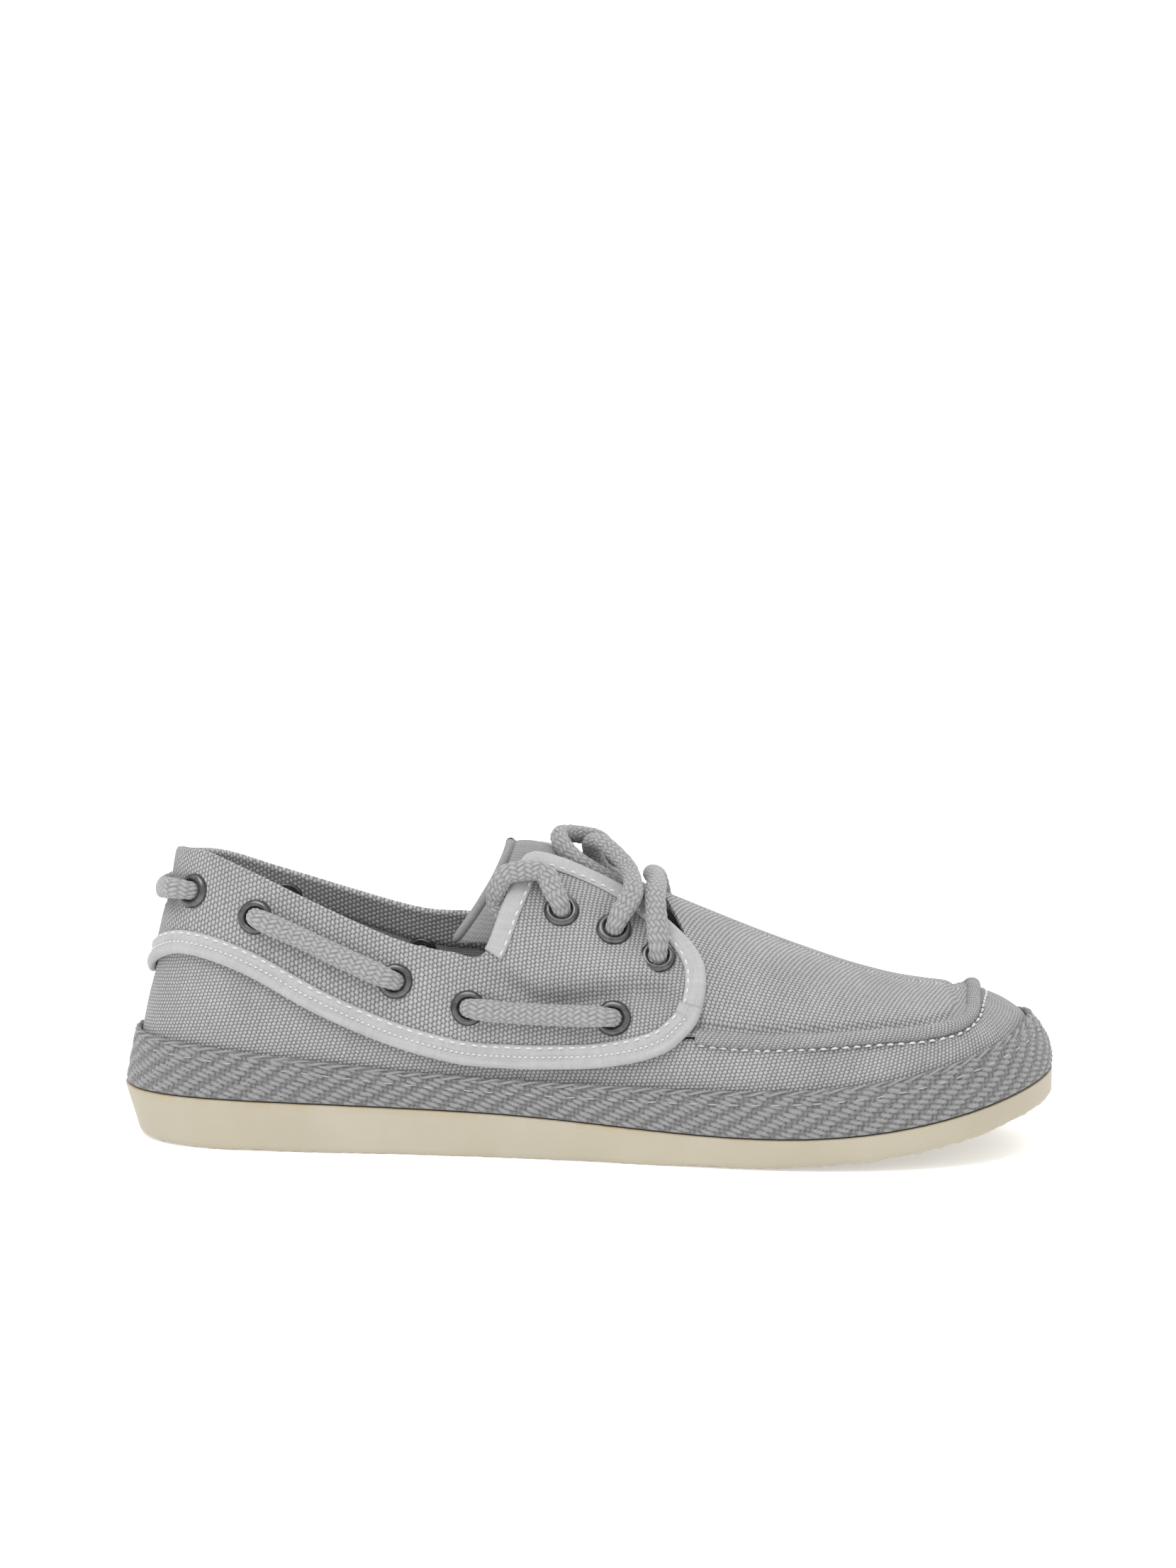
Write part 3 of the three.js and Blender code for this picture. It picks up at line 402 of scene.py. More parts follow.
def face_out(mesh):
    work = bmesh.new()
    work.from_mesh(mesh)
    bmesh.ops.recalc_face_normals(work, faces=work.faces)
    work.to_mesh(mesh)
    work.free()


def place(piece, body, replaces):
    bpy.context.scene.collection.objects.link(piece)
    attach(piece, body)
    if replaces:
        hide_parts(*replaces)
    return piece


def arc(points):
    """Running length down each column of a grid of points."""
    steps = np.linalg.norm(np.diff(points, axis=1), axis=2)
    return np.concatenate([np.zeros((len(points), 1)), np.cumsum(steps, 1)], 1)


def height_up(points, rows):
    """Length up the first `rows` columns of a grid of points, held level beyond them."""
    height = arc(points[:, :rows])
    return np.concatenate([height, np.repeat(height[:, -1:], points.shape[1] - rows, 1)], 1)


def turned(uv, degrees):
    a = math.radians(degrees)
    return np.stack([uv[..., 0] * math.cos(a) - uv[..., 1] * math.sin(a),
                     uv[..., 0] * math.sin(a) + uv[..., 1] * math.cos(a)], -1)


def around(share):
    """Side and s for a share from 0 to 2 of the walk from the heel past the toe and back."""
    return np.where(share <= 1, -1.0, 1.0), np.where(share <= 1, share, 2 - share)


def walk_length(side, s):
    return np.where(side < 0, s * FEATHER.outer, FEATHER.total - s * FEATHER.inner)


def hem(inner, outer, rows_out, rows_in, turns=4):
    """A closed cross-section of a panel from v = 0 to 1: (v share, out, edge roll) going up the
    outside, over the top edge, down the inside and round the lower edge."""
    middle, radius = (inner + outer) / 2, (outer - inner) / 2
    angle = np.linspace(0, math.pi, turns + 1)[1:-1]
    up, down = np.linspace(0, 1, rows_out), np.linspace(1, 0, rows_in)
    v = np.concatenate([up, np.ones(turns - 1), down, np.zeros(turns - 1)])
    out = np.concatenate([np.full(rows_out, outer), middle + radius * np.cos(angle),
                          np.full(rows_in, inner), middle - radius * np.cos(angle)])
    turn = radius * np.sin(angle)
    roll = np.concatenate([np.zeros(rows_out), turn, np.zeros(rows_in), -turn])
    return tuple(np.append(a, a[0]) for a in (v, out, roll))


# ---- Materials -------------------------------------------------------------------------------
class Look:
    """A procedural material: a Principled shader and short ways to wire nodes into it."""

    def __init__(self, name, roughness, metallic=0.0, sheen=0.0, specular=0.5):
        self.material = bpy.data.materials.new(name)
        self.material.use_nodes = True
        self.tree = self.material.node_tree
        self.shader = self.tree.nodes["Principled BSDF"]
        for key, value in (("Roughness", roughness), ("Metallic", metallic), ("Sheen Weight", sheen),
                           ("Sheen Roughness", 0.6), ("Specular IOR Level", specular)):
            self.shader.inputs[key].default_value = value
        self.coords = self.node("ShaderNodeTexCoord")
        self.uv, self.object = self.coords.outputs["UV"], self.coords.outputs["Object"]

    def node(self, kind, inputs=(), **settings):
        made = self.tree.nodes.new(kind)
        for key, value in settings.items():
            setattr(made, key, value)
        for key, value in dict(inputs).items():
            if isinstance(value, bpy.types.NodeSocket):
                self.tree.links.new(value, made.inputs[key])
            else:
                made.inputs[key].default_value = value
        return made

    def math(self, operation, a, b=0.0, c=0.0):
        return self.node("ShaderNodeMath", {0: a, 1: b, 2: c}, operation=operation).outputs[0]

    def vector(self, operation, a, b=(0, 0, 0), output="Vector"):
        return self.node("ShaderNodeVectorMath", {0: a, 1: b}, operation=operation).outputs[output]

    def wave(self, vector, cycles):
        """cos(2 pi cycles . vector)"""
        turn = [2 * math.pi * c for c in cycles] + [0] * (3 - len(cycles))
        return self.math("COSINE", self.vector("DOT_PRODUCT", vector, turn, "Value"))

    def noise(self, vector, scale, detail=2.0, output="Fac"):
        scaled = self.vector("MULTIPLY", vector, [scale] * 3 if np.isscalar(scale) else scale)
        made = self.node("ShaderNodeTexNoise", {"Vector": scaled, "Scale": 1.0, "Detail": detail})
        return made.outputs[output]

    def ramp(self, value, low, high, start=0.0, end=1.0):
        return self.node("ShaderNodeMapRange", {"Value": value, "From Min": low, "From Max": high,
                                                "To Min": start, "To Max": end}).outputs["Result"]

    def mix(self, share, a, b):
        made = self.node("ShaderNodeMix", {0: share}, data_type="RGBA")
        for key, value in ((6, a), (7, b)):
            if isinstance(value, bpy.types.NodeSocket):
                self.tree.links.new(value, made.inputs[key])
            else:
                made.inputs[key].default_value = (*value, 1)
        return made.outputs[2]

    def shade(self, colour, amount):
        """A colour times a number."""
        grey = self.node("ShaderNodeCombineXYZ", {0: amount, 1: amount, 2: amount}).outputs[0]
        return self.vector("MULTIPLY", colour, grey)

    def relief(self):
        return self.node("ShaderNodeAttribute", attribute_name="relief").outputs["Fac"]

    def finish(self, colour, height=None, depth=0.0002, strength=1.0, roughness=None):
        self.tree.links.new(colour, self.shader.inputs["Base Color"])
        if roughness is not None:
            self.tree.links.new(roughness, self.shader.inputs["Roughness"])
        if height is not None:
            bump = self.node("ShaderNodeBump", {"Height": height, "Distance": depth, "Strength": strength})
            self.tree.links.new(bump.outputs[0], self.shader.inputs["Normal"])
        return self.material


def woven(name, light, dark, first, second, depth, blotch=0.16):
    """Duck canvas: rounded crossings on a slanted lattice given by two wave vectors, in cycles
    per millimetre, with uneven threads and a washed, blotchy tone. The dark colour where the
    weave is low is painted shade between the threads."""
    look = Look(name, 0.9, sheen=0.12, specular=0.25)
    push = look.vector("SUBTRACT", look.noise(look.uv, 0.55, 1.0, "Color"), (0.5, 0.5, 0.5))
    uv = look.vector("ADD", look.uv, look.vector("MULTIPLY", push, (0.55, 0.55, 0)))
    waves = [look.wave(uv, first), look.wave(uv, second), look.wave(uv, np.subtract(first, second))]
    woven_height = look.math("MULTIPLY_ADD", waves[0], 0.45, look.math(
        "MULTIPLY_ADD", waves[1], 0.38, look.math("MULTIPLY", waves[2], 0.34)))
    height = look.ramp(woven_height, -0.62, 1.0)
    # painted shade: the colour goes dark where the weave is low, between the threads
    painted_gap_shade = look.ramp(woven_height, -0.6, 0.2)
    slub_a = look.noise(uv, (0.09, 0.95, 1), 2.0)
    slub_b = look.noise(uv, (0.85, 0.08, 1), 2.0)
    threads = look.math("ADD", slub_a, slub_b)
    fuzz = look.noise(look.uv, 5.0, 3.0)
    tone = look.math("ADD", look.ramp(threads, 0.7, 1.3, -0.09, 0.09), look.ramp(
        look.noise(look.uv, 0.05, 3.0), 0.3, 0.7, 1 - blotch / 2, 1 + blotch / 2))
    colour = look.shade(look.mix(painted_gap_shade, [dark] * 3, [light] * 3), tone)
    bumps = look.math("ADD", look.math("MULTIPLY", height, look.ramp(threads, 0.7, 1.3, 0.75, 1.25)),
                      look.math("MULTIPLY", fuzz, 0.22))
    return look.finish(colour, bumps, depth)


def yarn(name, light, dark, scale, depth, roughness=0.92):
    """Cotton whose plaits are in the mesh: painted shade in its hollows, with fine fibres."""
    look = Look(name, roughness, sheen=0.2, specular=0.2)
    fibre = look.noise(look.object, scale, 4.0)
    hollow = look.relief()
    tone = look.ramp(fibre, 0.3, 0.7, 0.88, 1.1)
    # painted shade: the colour is dark where the relief is low
    colour = look.shade(look.mix(look.ramp(hollow, 0.1, 0.85), [dark] * 3, [light] * 3), tone)
    return look.finish(colour, fibre, depth)


def rubber():
    look = Look("cream_rubber", 0.52, specular=0.4)
    cloud = look.noise(look.object, 60.0, 4.0)
    grain = look.noise(look.object, 2600.0, 3.0)
    patches = look.ramp(look.noise(look.object, 22.0, 2.0), 0.35, 0.65)
    cream = look.mix(patches, (0.415, 0.378, 0.298), (0.395, 0.354, 0.27))
    colour = look.shade(cream, look.ramp(cloud, 0.3, 0.7, 0.97, 1.03))
    stained = look.mix(look.relief(), colour, (0.36, 0.27, 0.14))
    return look.finish(stained, grain, 0.00006, 1.0, look.ramp(cloud, 0.3, 0.7, 0.44, 0.6))


def metal():
    look = Look("gunmetal", 0.32, metallic=1.0)
    wear = look.noise(look.object, 420.0, 5.0)
    colour = look.mix(look.ramp(wear, 0.35, 0.75), (0.085, 0.085, 0.088), (0.155, 0.155, 0.158))
    grain = look.noise(look.object, 1500.0, 2.0)
    return look.finish(colour, grain, 0.00002, 1.0, look.ramp(wear, 0.3, 0.7, 0.26, 0.42))


def matt(name, light, dark, scale, depth, roughness=0.9):
    look = Look(name, roughness, specular=0.3)
    spots = look.noise(look.object, scale, 5.0)
    return look.finish(look.mix(look.ramp(spots, 0.3, 0.7), dark, light), spots, depth)


CANVAS_LOOK = woven("duck_canvas", 0.385, 0.10, (0.75, -0.25), (0.115, -0.97), 0.00024)
BINDING_LOOK = woven("binding_twill", 0.43, 0.33, (1.9, 0.5), (0.3, 2.1), 0.00007, 0.08)
TONGUE_LOOK = woven("tongue_cloth", 0.33, 0.22, (1.35, 0.25), (0.1, -1.55), 0.0001, 0.1)
LINING_LOOK = woven("fine_drill", 0.42, 0.17, (1.35, 0.25), (0.1, -1.55), 0.00014, 0.12)
SOCK_LOOK = woven("sock_cloth", 0.5, 0.26, (1.2, 0.0), (0.0, -1.4), 0.00014, 0.1)
TAPE_LOOK = yarn("jute_twill", 0.255, 0.07, 1400.0, 0.0001)
LACE_LOOK = yarn("braided_cotton", 0.325, 0.13, 1700.0, 0.00008)
PALE_TAPE_LOOK = yarn("tape_thread", 0.36, 0.2, 2500.0, 0.00004, 0.8)
THREAD_LOOK = yarn("thread", 0.6, 0.42, 2500.0, 0.00004, 0.7)
RUBBER_LOOK = rubber()
METAL_LOOK = metal()
FOAM_LOOK = matt("open_foam", (0.72, 0.70, 0.64), (0.58, 0.56, 0.5), 900.0, 0.0002)
BOARD_LOOK = matt("fibre_board", (0.48, 0.37, 0.25), (0.36, 0.27, 0.17), 500.0, 0.0001)
STIFF_LOOK = matt("stiffener_cloth", (0.62, 0.58, 0.48), (0.5, 0.47, 0.38), 700.0, 0.0001)
TIP_LOOK = matt("clear_tip", (0.5, 0.5, 0.5), (0.4, 0.4, 0.4), 300.0, 0.00002, 0.28)

# ---- Sole ------------------------------------------------------------------------------------
STATIONS = 800          # places round the outsole
TAPE_ROWS = WALL_ROWS = 38      # rows of points up the outside of the tape and of the wall


def outsole():
    share = np.linspace(0, 2, STATIONS + 1)
    side, s = around(share)
    run = walk_length(side, s)
    edges = {inset: Edge(inset).at(side, s) for inset in (0, 0.5, 1.2, 2.6)}
    ragged = (0.28 * ripple(run, 0 * run, 2.1, 5) + 0.22 * ripple(run, 0 * run, 9, 6)
              + 0.16 * np.abs(np.sin(run * 2.3)))
    # (inset, height above the tread, share of the height up to the top)
    profile = [(2.6, 0.0, 0), (1.2, 0.05, 0), (0.5, 0.35, 0), (0, 1.1, 0), (0, 2.0, 0)]
    profile += [(0, 2.0, climb) for climb in (0.15, 0.3, 0.5, 0.7, 0.85)]
    rings, stain = [], []
    for inset, lift, climb in profile:
        at = edges[inset]
        bottom = tread(at[:, 0])
        wavy = ragged * np.clip(1 - lift / 1.2, 0, 1) * (inset < 2)
        top = sole_top(at[:, 0]) - 0.7
        z = bottom + lift + wavy + (top - bottom - lift) * climb
        low = 1 - (z - bottom) / (top - bottom)
        lean = HEEL_RAKE * smooth(-at[:, 0], LENGTH / 2 - 36, LENGTH / 2) * np.clip(low, 0, 1)
        swell = 0.35 * np.sin(np.clip(low, 0, 1) * math.pi)
        rings.append(np.stack([at[:, 0] + lean, at[:, 1] * (1 + swell / 60), z], 1))
        stain.append(0 * z)
    glue = np.clip(0.45 + 0.6 * ripple(run, 0 * run, 7, 9) + 0.5 * ripple(run, 0 * run, 1.6, 10), 0, 1)
    glue *= 1 - 0.8 * smooth(edges[0][:, 0], 0, 90)
    for inset, drop, dye in ((0, 0.25, 0.35), (0.5, 0.02, 0.7), (1.2, 0.0, 0.9), (2.6, 0.0, 1.0)):
        at = edges[inset]
        rings.append(np.stack([at[:, 0], at[:, 1], sole_top(at[:, 0]) - drop], 1))
        stain.append(dye * glue)
    rings, stain = np.stack(rings, 1), np.stack(stain, 1)
    sole = Build()
    uv = np.stack([np.broadcast_to(run[:, None], rings.shape[:2]), arc(rings)], -1)
    sole.grid(rings, uv, stain)
    # Underside with razor-cut zigzag siping, and the plain top face.
    half = STATIONS // 2
    across = np.linspace(0, 1, 110)[None, :, None]
    for column, cut in ((0, True), (-1, False)):
        outer, inner = rings[:half + 1, column], rings[half:, column][::-1]
        face = lerp(outer[:, None], inner[:, None], across)
        if cut:
            x, y = face[..., 0], face[..., 1]
            zigzag = np.abs((y / 9) % 2 - 1) * 5
            groove = hump(((x + zigzag) % 5.2) - 2.6, 0, 0.55)
            rim = np.minimum(np.minimum(across[..., 0], 1 - across[..., 0]) * 40, 1)
            rim = rim * smooth(np.abs(x), LENGTH / 2 - 3, LENGTH / 2 - 8)
            face[..., 2] = tread(x) + 0.9 * groove * rim
        shade = np.full(face.shape[:2], 0.0 if cut else 0.3)
        shade[0], shade[-1] = stain[0, column], stain[half, column]
        sole.grid(face, face[..., :2], shade)
    sole.finish("outsole_rubber", RUBBER_LOOK, "sole_rubber", replaces=["outsole"], sharp=60)


# ---- Foxing tape -----------------------------------------------------------------------------
TAPE_OUT = 2.9          # the woven tape's outer face, out from the form
PLY_TURN = 5.8          # length of one full turn of the edge cord's two plies


def twill(u, v):
    """Coarse 2/1 twill: long slanted floats with holes that step up to the right, 0 to 1."""
    column, row = 0.551 * u + 0.096 * v, 0.161 * u + 0.670 * v
    column = column + 0.3 * ripple(u, v, 4, 21)
    row = row + 0.2 * ripple(u, v, 3.4, 22)
    across = np.sqrt(np.clip(np.sin(math.pi * np.mod(row, 1)), 0, 1))
    place_on = np.mod(column - np.floor(row), 3)
    float_ = np.clip(np.sin(math.pi * np.clip((place_on - 0.8) / 2.2, 0, 1)), 0, 1) ** 0.4
    crossing = 0.5 * np.clip(np.sin(math.pi * place_on / 0.8), 0, 1) ** 0.5 * across
    return np.where(place_on < 0.8, 0.1 + crossing, 0.14 + 0.86 * across * float_)


def tape_edge_level(side, s):
    """Where the woven tape ends, under the loops of its edge."""
    return tape_top(side, s) - level_at(side, s, 1.6)


def foxing_tape():
    count = 1560
    share = np.linspace(0, 2, count + 1)
    side, s = around(share)
    run = walk_length(side, s)
    v, out, roll = hem(1.4, TAPE_OUT, TAPE_ROWS, 5, 3)
    scallop = 0.55 * np.abs(np.sin(run / 6.2 * math.pi)) + 0.3 * ripple(run, 0 * run, 3, 31)
    top = tape_edge_level(side, s) + level_at(side, s, scallop)
    t = np.maximum(top[:, None] * v[None], 0.0)
    t = t + level_at(side, s, 1.0)[:, None] * np.maximum(roll, 0)[None]
    high = height_up(skin(side[:, None], s[:, None], t, TAPE_OUT), TAPE_ROWS)
    row_up = np.minimum(np.arange(len(v)), TAPE_ROWS - 1)
    outside = (np.arange(len(v)) < TAPE_ROWS) * np.clip(np.minimum(row_up, TAPE_ROWS - 1 - row_up) / 2, 0, 1)
    weave = twill(run[:, None], high)
    sag = 0.35 * ripple(run[:, None], high, 11, 33)
    rise = ((weave - 0.45) * 0.85 + sag * (high / 14)) * outside
    points = skin(side[:, None], s[:, None], t, out[None] + rise)
    tape = Build()
    uv = np.stack([np.broadcast_to(run[:, None], high.shape), high], -1)
    # relief is the twill's height, so the yarn look paints shade in its holes
    tape.grid(points, uv, np.where(outside > 0, weave, 0.4))
    tape.finish("tape_weave", TAPE_LOOK, "foxing_weave", replaces=["foxing_tape"])


def band_path(level, out, spacing=0.5, shares=(0, 2)):
    """A path right round the foot at a level given as a function, with its outward normals."""
    count = int((FEATHER.total * (shares[1] - shares[0]) / 2) / spacing)
    side, s = around(np.linspace(*shares, count + 1))
    t = level(side, s)
    return skin(side, s, t, out), normal_at(side, s, t), walk_length(side, s)


def tape_edge():
    """Two-ply twisted cord along the tape's top edge."""
    path, normal, run = band_path(lambda side, s: tape_edge_level(side, s) + level_at(side, s, 0.25), 2.6)

    def section(angle, length):
        plies = np.cos(2 * (angle - length / PLY_TURN * math.pi))
        # relief from the plies, so the yarn look paints shade in the groove between them
        return 0.55 + 0.3 * plies, 0.5 + 0.5 * plies
    cord(path, normal, run, "tape_edge_cord", TAPE_LOOK, "foxing_weave", section, 14, closed=True)


def cord(path, normal, run, name, look, slot, section, sides, closed=False, scale=(1.0, 1.0), **where):
    """A tube along a path. section(angle, length) gives radius and relief for each point."""
    ahead = unit(np.gradient(path, axis=0))
    if closed:
        ahead[0] = ahead[-1] = unit(path[1] - path[-2])
    normal = unit(normal - (normal * ahead).sum(1, keepdims=True) * ahead)
    across = np.cross(ahead, normal)
    angle = np.linspace(0, 2 * math.pi, sides + 1)
    radius, relief = section(angle[None], run[:, None])
    wide, thick = (np.broadcast_to(k, len(path))[:, None] for k in scale)
    points = (path[:, None] + across[:, None] * (radius * wide * np.cos(angle))[..., None]
              + normal[:, None] * (radius * thick * np.sin(angle))[..., None])
    points[:, -1] = points[:, 0]
    uv = np.stack(np.broadcast_arrays(run[:, None], angle[None] * 3), -1)
    made = Build()
    if closed:
        points[-1] = points[0]
        made.grid(points, uv, relief)
    else:
        made.tube(points, uv, relief)
    return made.finish(name, look, slot, **where)


# Pitch, length and radius of each kind of stitch.
LONG_STITCH, SHORT_STITCH, RIM_STITCH = (3.3, 2.1, 0.36), (1.75, 1.15, 0.36), (2.6, 1.7, 0.3)
SEAM_STITCH, TAPE_STITCH = (3.3, 2.2, 0.4), (6.2, 3.4, 0.22)


def stitches(name, rows, slot="binding_tape", look=THREAD_LOOK):
    """Stitches along paths. Each row is (points, normals, pitch, length, radius)."""
    made = Build()
    around_, along_ = 7, 7
    angle = np.linspace(0, 2 * math.pi, around_ + 1)
    place_, girth = np.linspace(-1, 1, along_), np.sqrt(1 - np.linspace(-0.97, 0.97, along_) ** 2)
    random = np.random.default_rng(7)
    for path, normal, pitch, length, radius in rows:
        run = run_along(path)
        centres = np.arange(pitch / 2, run[-1] - pitch / 3, pitch)
        centres = centres + random.uniform(-0.06, 0.06, len(centres)) * pitch

        def at(values, where):
            return np.stack([np.interp(where, run, column) for column in values.T], 1)
        for centre in centres:
            spots = at(path, centre + place_ * length / 2)
            up = unit(at(normal, np.full(along_, centre)))
            ahead = unit(spots[-1] - spots[0])[None]
            flat = unit(np.cross(up, ahead)) + 0 * spots
            slant = random.uniform(-0.05, 0.05) * length * place_[:, None] * flat
            bow = up * (radius * (0.35 - 1.1 * place_**2))[:, None]
            spokes = (flat[:, None] * np.cos(angle)[None, :, None]
                      + up[:, None] * 0.85 * np.sin(angle)[None, :, None])
            ring = (spots + slant + bow)[:, None] + radius * girth[:, None, None] * spokes
            ring[:, -1] = ring[:, 0]
            uv = np.zeros((along_, around_ + 1, 2)) + place_[:, None, None]
            # relief is the thread's girth, so the yarn look paints shade at each stitch's ends, where it dips
            # into the cloth
            relief = np.broadcast_to(girth[:, None], (along_, around_ + 1))
            made.grid(ring, uv, relief)
            for end in (0, -1):
                tip = np.broadcast_to(ring[end].mean(0), (around_ + 1, 3))
                made.grid(np.stack([ring[end], tip]), uv[:2], relief[:2])
    return made.finish(name, look, slot)


# ---- Upper -----------------------------------------------------------------------------------
def side_wall():
    share = np.linspace(0, 2, 860)
    side, s = around(share)
    run = walk_length(side, s)
    v, out, _ = hem(0, WALL_OUT, WALL_ROWS, 10, 3)
    top = wall_top(s) - 0.004
    t = top[:, None] * v[None]
    high = height_up(skin(side[:, None], s[:, None], t, WALL_OUT), WALL_ROWS)
    front = smooth(s, 0.6, 0.8)[:, None]
    wrinkle = 0.62 * ripple(run[:, None], high, 24, 41) + 0.2 * ripple(run[:, None], high, 9, 42)
    wrinkle = wrinkle + 0.5 * front * np.sin(run[:, None] / 7.5 * math.pi + 2 * ripple(
        run[:, None], 0 * high, 16, 43)) * np.clip(v[None] - 0.45, 0, 1) ** 1.3
    calm = np.clip((v[None] - 0.3) * 3, 0, 1) * np.clip((1.02 - v[None]) * 9, 0, 1)
    heel_dip = -0.9 * hump(s[:, None], 0.085, 0.045) * hump(v[None], 0.62, 0.25)
    made = Build()
    place_out = out[None] + (wrinkle + heel_dip) * calm
    points = skin(side[:, None], s[:, None], t, place_out)
    uv = np.stack([np.broadcast_to(run[:, None], high.shape), high], -1)
    made.grid(points, uv, 0.5)
    made.finish("wall_canvas", CANVAS_LOOK, "canvas", replaces=["side_wall"])


def vault(name, rear, low, inner, outer, look, slot, replaces, bulge=None, columns=(200, 190)):
    """A sheet over the front of the foot from a level on one side over the ridge to the other."""
    u, v = np.linspace(0, 1, columns[0])[:, None], np.linspace(0, 1, columns[1])[None]
    side = np.where(v < 0.5, -1.0, 1.0) + 0 * u
    climb = 1 - np.abs(2 * v - 1) + 0 * u
    s = lerp(rear(climb), 1, u)
    t = lerp(low(s), 1, climb)
    made = Build()
    layers = []
    for out in (outer, inner):
        push = out if bulge is None else out + bulge(s, t, low(s))
        points = skin(side, s, t, push)
        drop = ridge(points[..., 0]) - points[..., 2]
        uv = np.stack([points[..., 0] * 1.06, side * np.hypot(points[..., 1] - 2, drop)], -1)
        layers.append((points, uv))
        made.grid(points, uv, 0.5)
    (top, uv), (under, _) = layers
    for edge in ((0, slice(None)), (-1, slice(None)), (slice(None), 0), (slice(None), -1)):
        made.grid(np.stack([top[edge], under[edge]]), np.stack([uv[edge], uv[edge]]), 0.5)
    return made.finish(name, look, slot, replaces=replaces, sharp=50)


def apron():
    def rear(climb):
        return lerp(APRON_REAR, APRON_REAR_RIDGE, smooth(climb, 0.45, 1))

    def seam_dip(s, t, low):
        beyond = (t - low) / level_at(-1, s, 1.0)
        return (-0.9 * hump(beyond, 3.9, 1.5) + 0.5 * hump(beyond, 0.5, 2.2)
                + 0.22 * ripple(s * PATTERN_LENGTH, t * 60, 22, 51))
    vault("apron_canvas", rear, lambda s: wall_top(s) + 0.004, 0, WALL_OUT, CANVAS_LOOK, "canvas", ["apron"],
          seam_dip)


SEAM_START = 0.599      # s where the apron seam comes out from under the flap


def seam_path(offset, out, spacing=0.5):
    """A path along the apron seam, `offset` millimetres above it."""
    def level(side, s):
        return wall_top(s) + level_at(side, s, 1.0) * offset
    return band_path(level, out, spacing, (SEAM_START, 2 - SEAM_START))


def apron_ridge():
    """The pinched tuck of canvas that stands along the seam."""
    path, normal, run = seam_path(0.4, 1.0, 0.6)
    waver = 0.2 * ripple(run, 0 * run, 3.6, 61) + 0.18 * ripple(run, 0 * run, 12, 62)
    path = path + normal * (0.85 + waver[:, None])

    def section(angle, length):
        lumps = 1 + 0.09 * np.cos(length / 3.3 * 2 * math.pi) * np.clip(-np.cos(angle), 0, 1)
        return 2.1 * lumps, 0.5 + 0 * angle * length
    cord(path, normal, run, "apron_ridge", CANVAS_LOOK, "canvas", section, 26,
         scale=(1.0, 0.86), replaces=["apron_piping"])
    below, up, _ = seam_path(-2.0, WALL_OUT + 0.45)
    stitches("apron_stitches", [(below, up, *SEAM_STITCH)])


def furrows(side, s, t):
    """Folds of the quarter's canvas, in millimetres out from its smooth shape: one long fold that
    dips to the collar lace and climbs towards the flap's tip, and short creases beside it."""
    strength = 1.0 if side < 0 else 0.6
    line = 0.298 + 1.05 * np.maximum(0.445 - s, 0) + 0.134 * smooth(s, 0.445, 0.585)
    reach = smooth(s, 0.392, 0.43) * (1 - smooth(s, 0.565, 0.592))
    above = smooth(s, 0.43, 0.475) * (1 - smooth(s, 0.54, 0.575))
    fold = 2.0 * above * hump(t, line + 0.085, 0.06) - 3.0 * reach * hump(t, line, 0.034)
    dent = -1.2 * hump(t, 0.37, 0.03) * (1 - smooth(s, 0.075, 0.1))
    crease = -1.3 * hump(s + 0.13 * (t - 0.3), 0.358, 0.009) * hump(t, 0.315, 0.06)
    swell = 0.9 * hump(s + 0.13 * (t - 0.3), 0.374, 0.01) * hump(t, 0.33, 0.05)
    second = -0.7 * hump(s + 0.1 * (t - 0.3), 0.3435, 0.007) * hump(t, 0.305, 0.05)
    tips = -0.5 * hump(s - 0.1 * (t - 0.5), 0.577, 0.008) * hump(t, 0.5, 0.06)
    soft = (0.4 * ripple(s * PATTERN_LENGTH, t * 90, 19, 71 + side)
            + 0.12 * ripple(s * PATTERN_LENGTH, t * 90, 7, 75 + side))
    return strength * (fold + crease + swell + second + tips) + dent + soft


HOLE_RADIUS = 0.0036    # of the lace holes in the cloth, in metres


def eyelet_holes(side):
    """Plugs for the lace holes, as one mesh."""
    work = bmesh.new()
    for s, t in EYELETS:
        centre, axis = skin(side, s, t), normal_at(side, s, t)
        turn = Vector(axis).to_track_quat("Z", "Y").to_matrix().to_4x4()
        turn.translation = Vector(centre * MM)
        bmesh.ops.create_cone(work, cap_ends=True, segments=28, radius1=HOLE_RADIUS, radius2=HOLE_RADIUS,
                              depth=0.016, matrix=turn)
    mesh = bpy.data.meshes.new("plugs")
    work.to_mesh(mesh)
    work.free()
    plugs = bpy.data.objects.new("plugs", mesh)
    bpy.context.scene.collection.objects.link(plugs)
    return plugs


def punch(piece, side):
    """Cuts the lace holes out of a piece."""
    plugs = eyelet_holes(side)
    cut = piece.modifiers.new("holes", "BOOLEAN")
    cut.operation, cut.solver, cut.object = "DIFFERENCE", "MANIFOLD", plugs
    bpy.context.view_layer.update()
    graph = bpy.context.evaluated_depsgraph_get()
    made = bpy.data.meshes.new_from_object(piece.evaluated_get(graph))
    piece.modifiers.clear()
    piece.data = made
    made.polygons.foreach_set("use_smooth", np.ones(len(made.polygons), bool))
    made.set_sharp_from_angle(angle=math.radians(55))
    bpy.data.objects.remove(plugs)


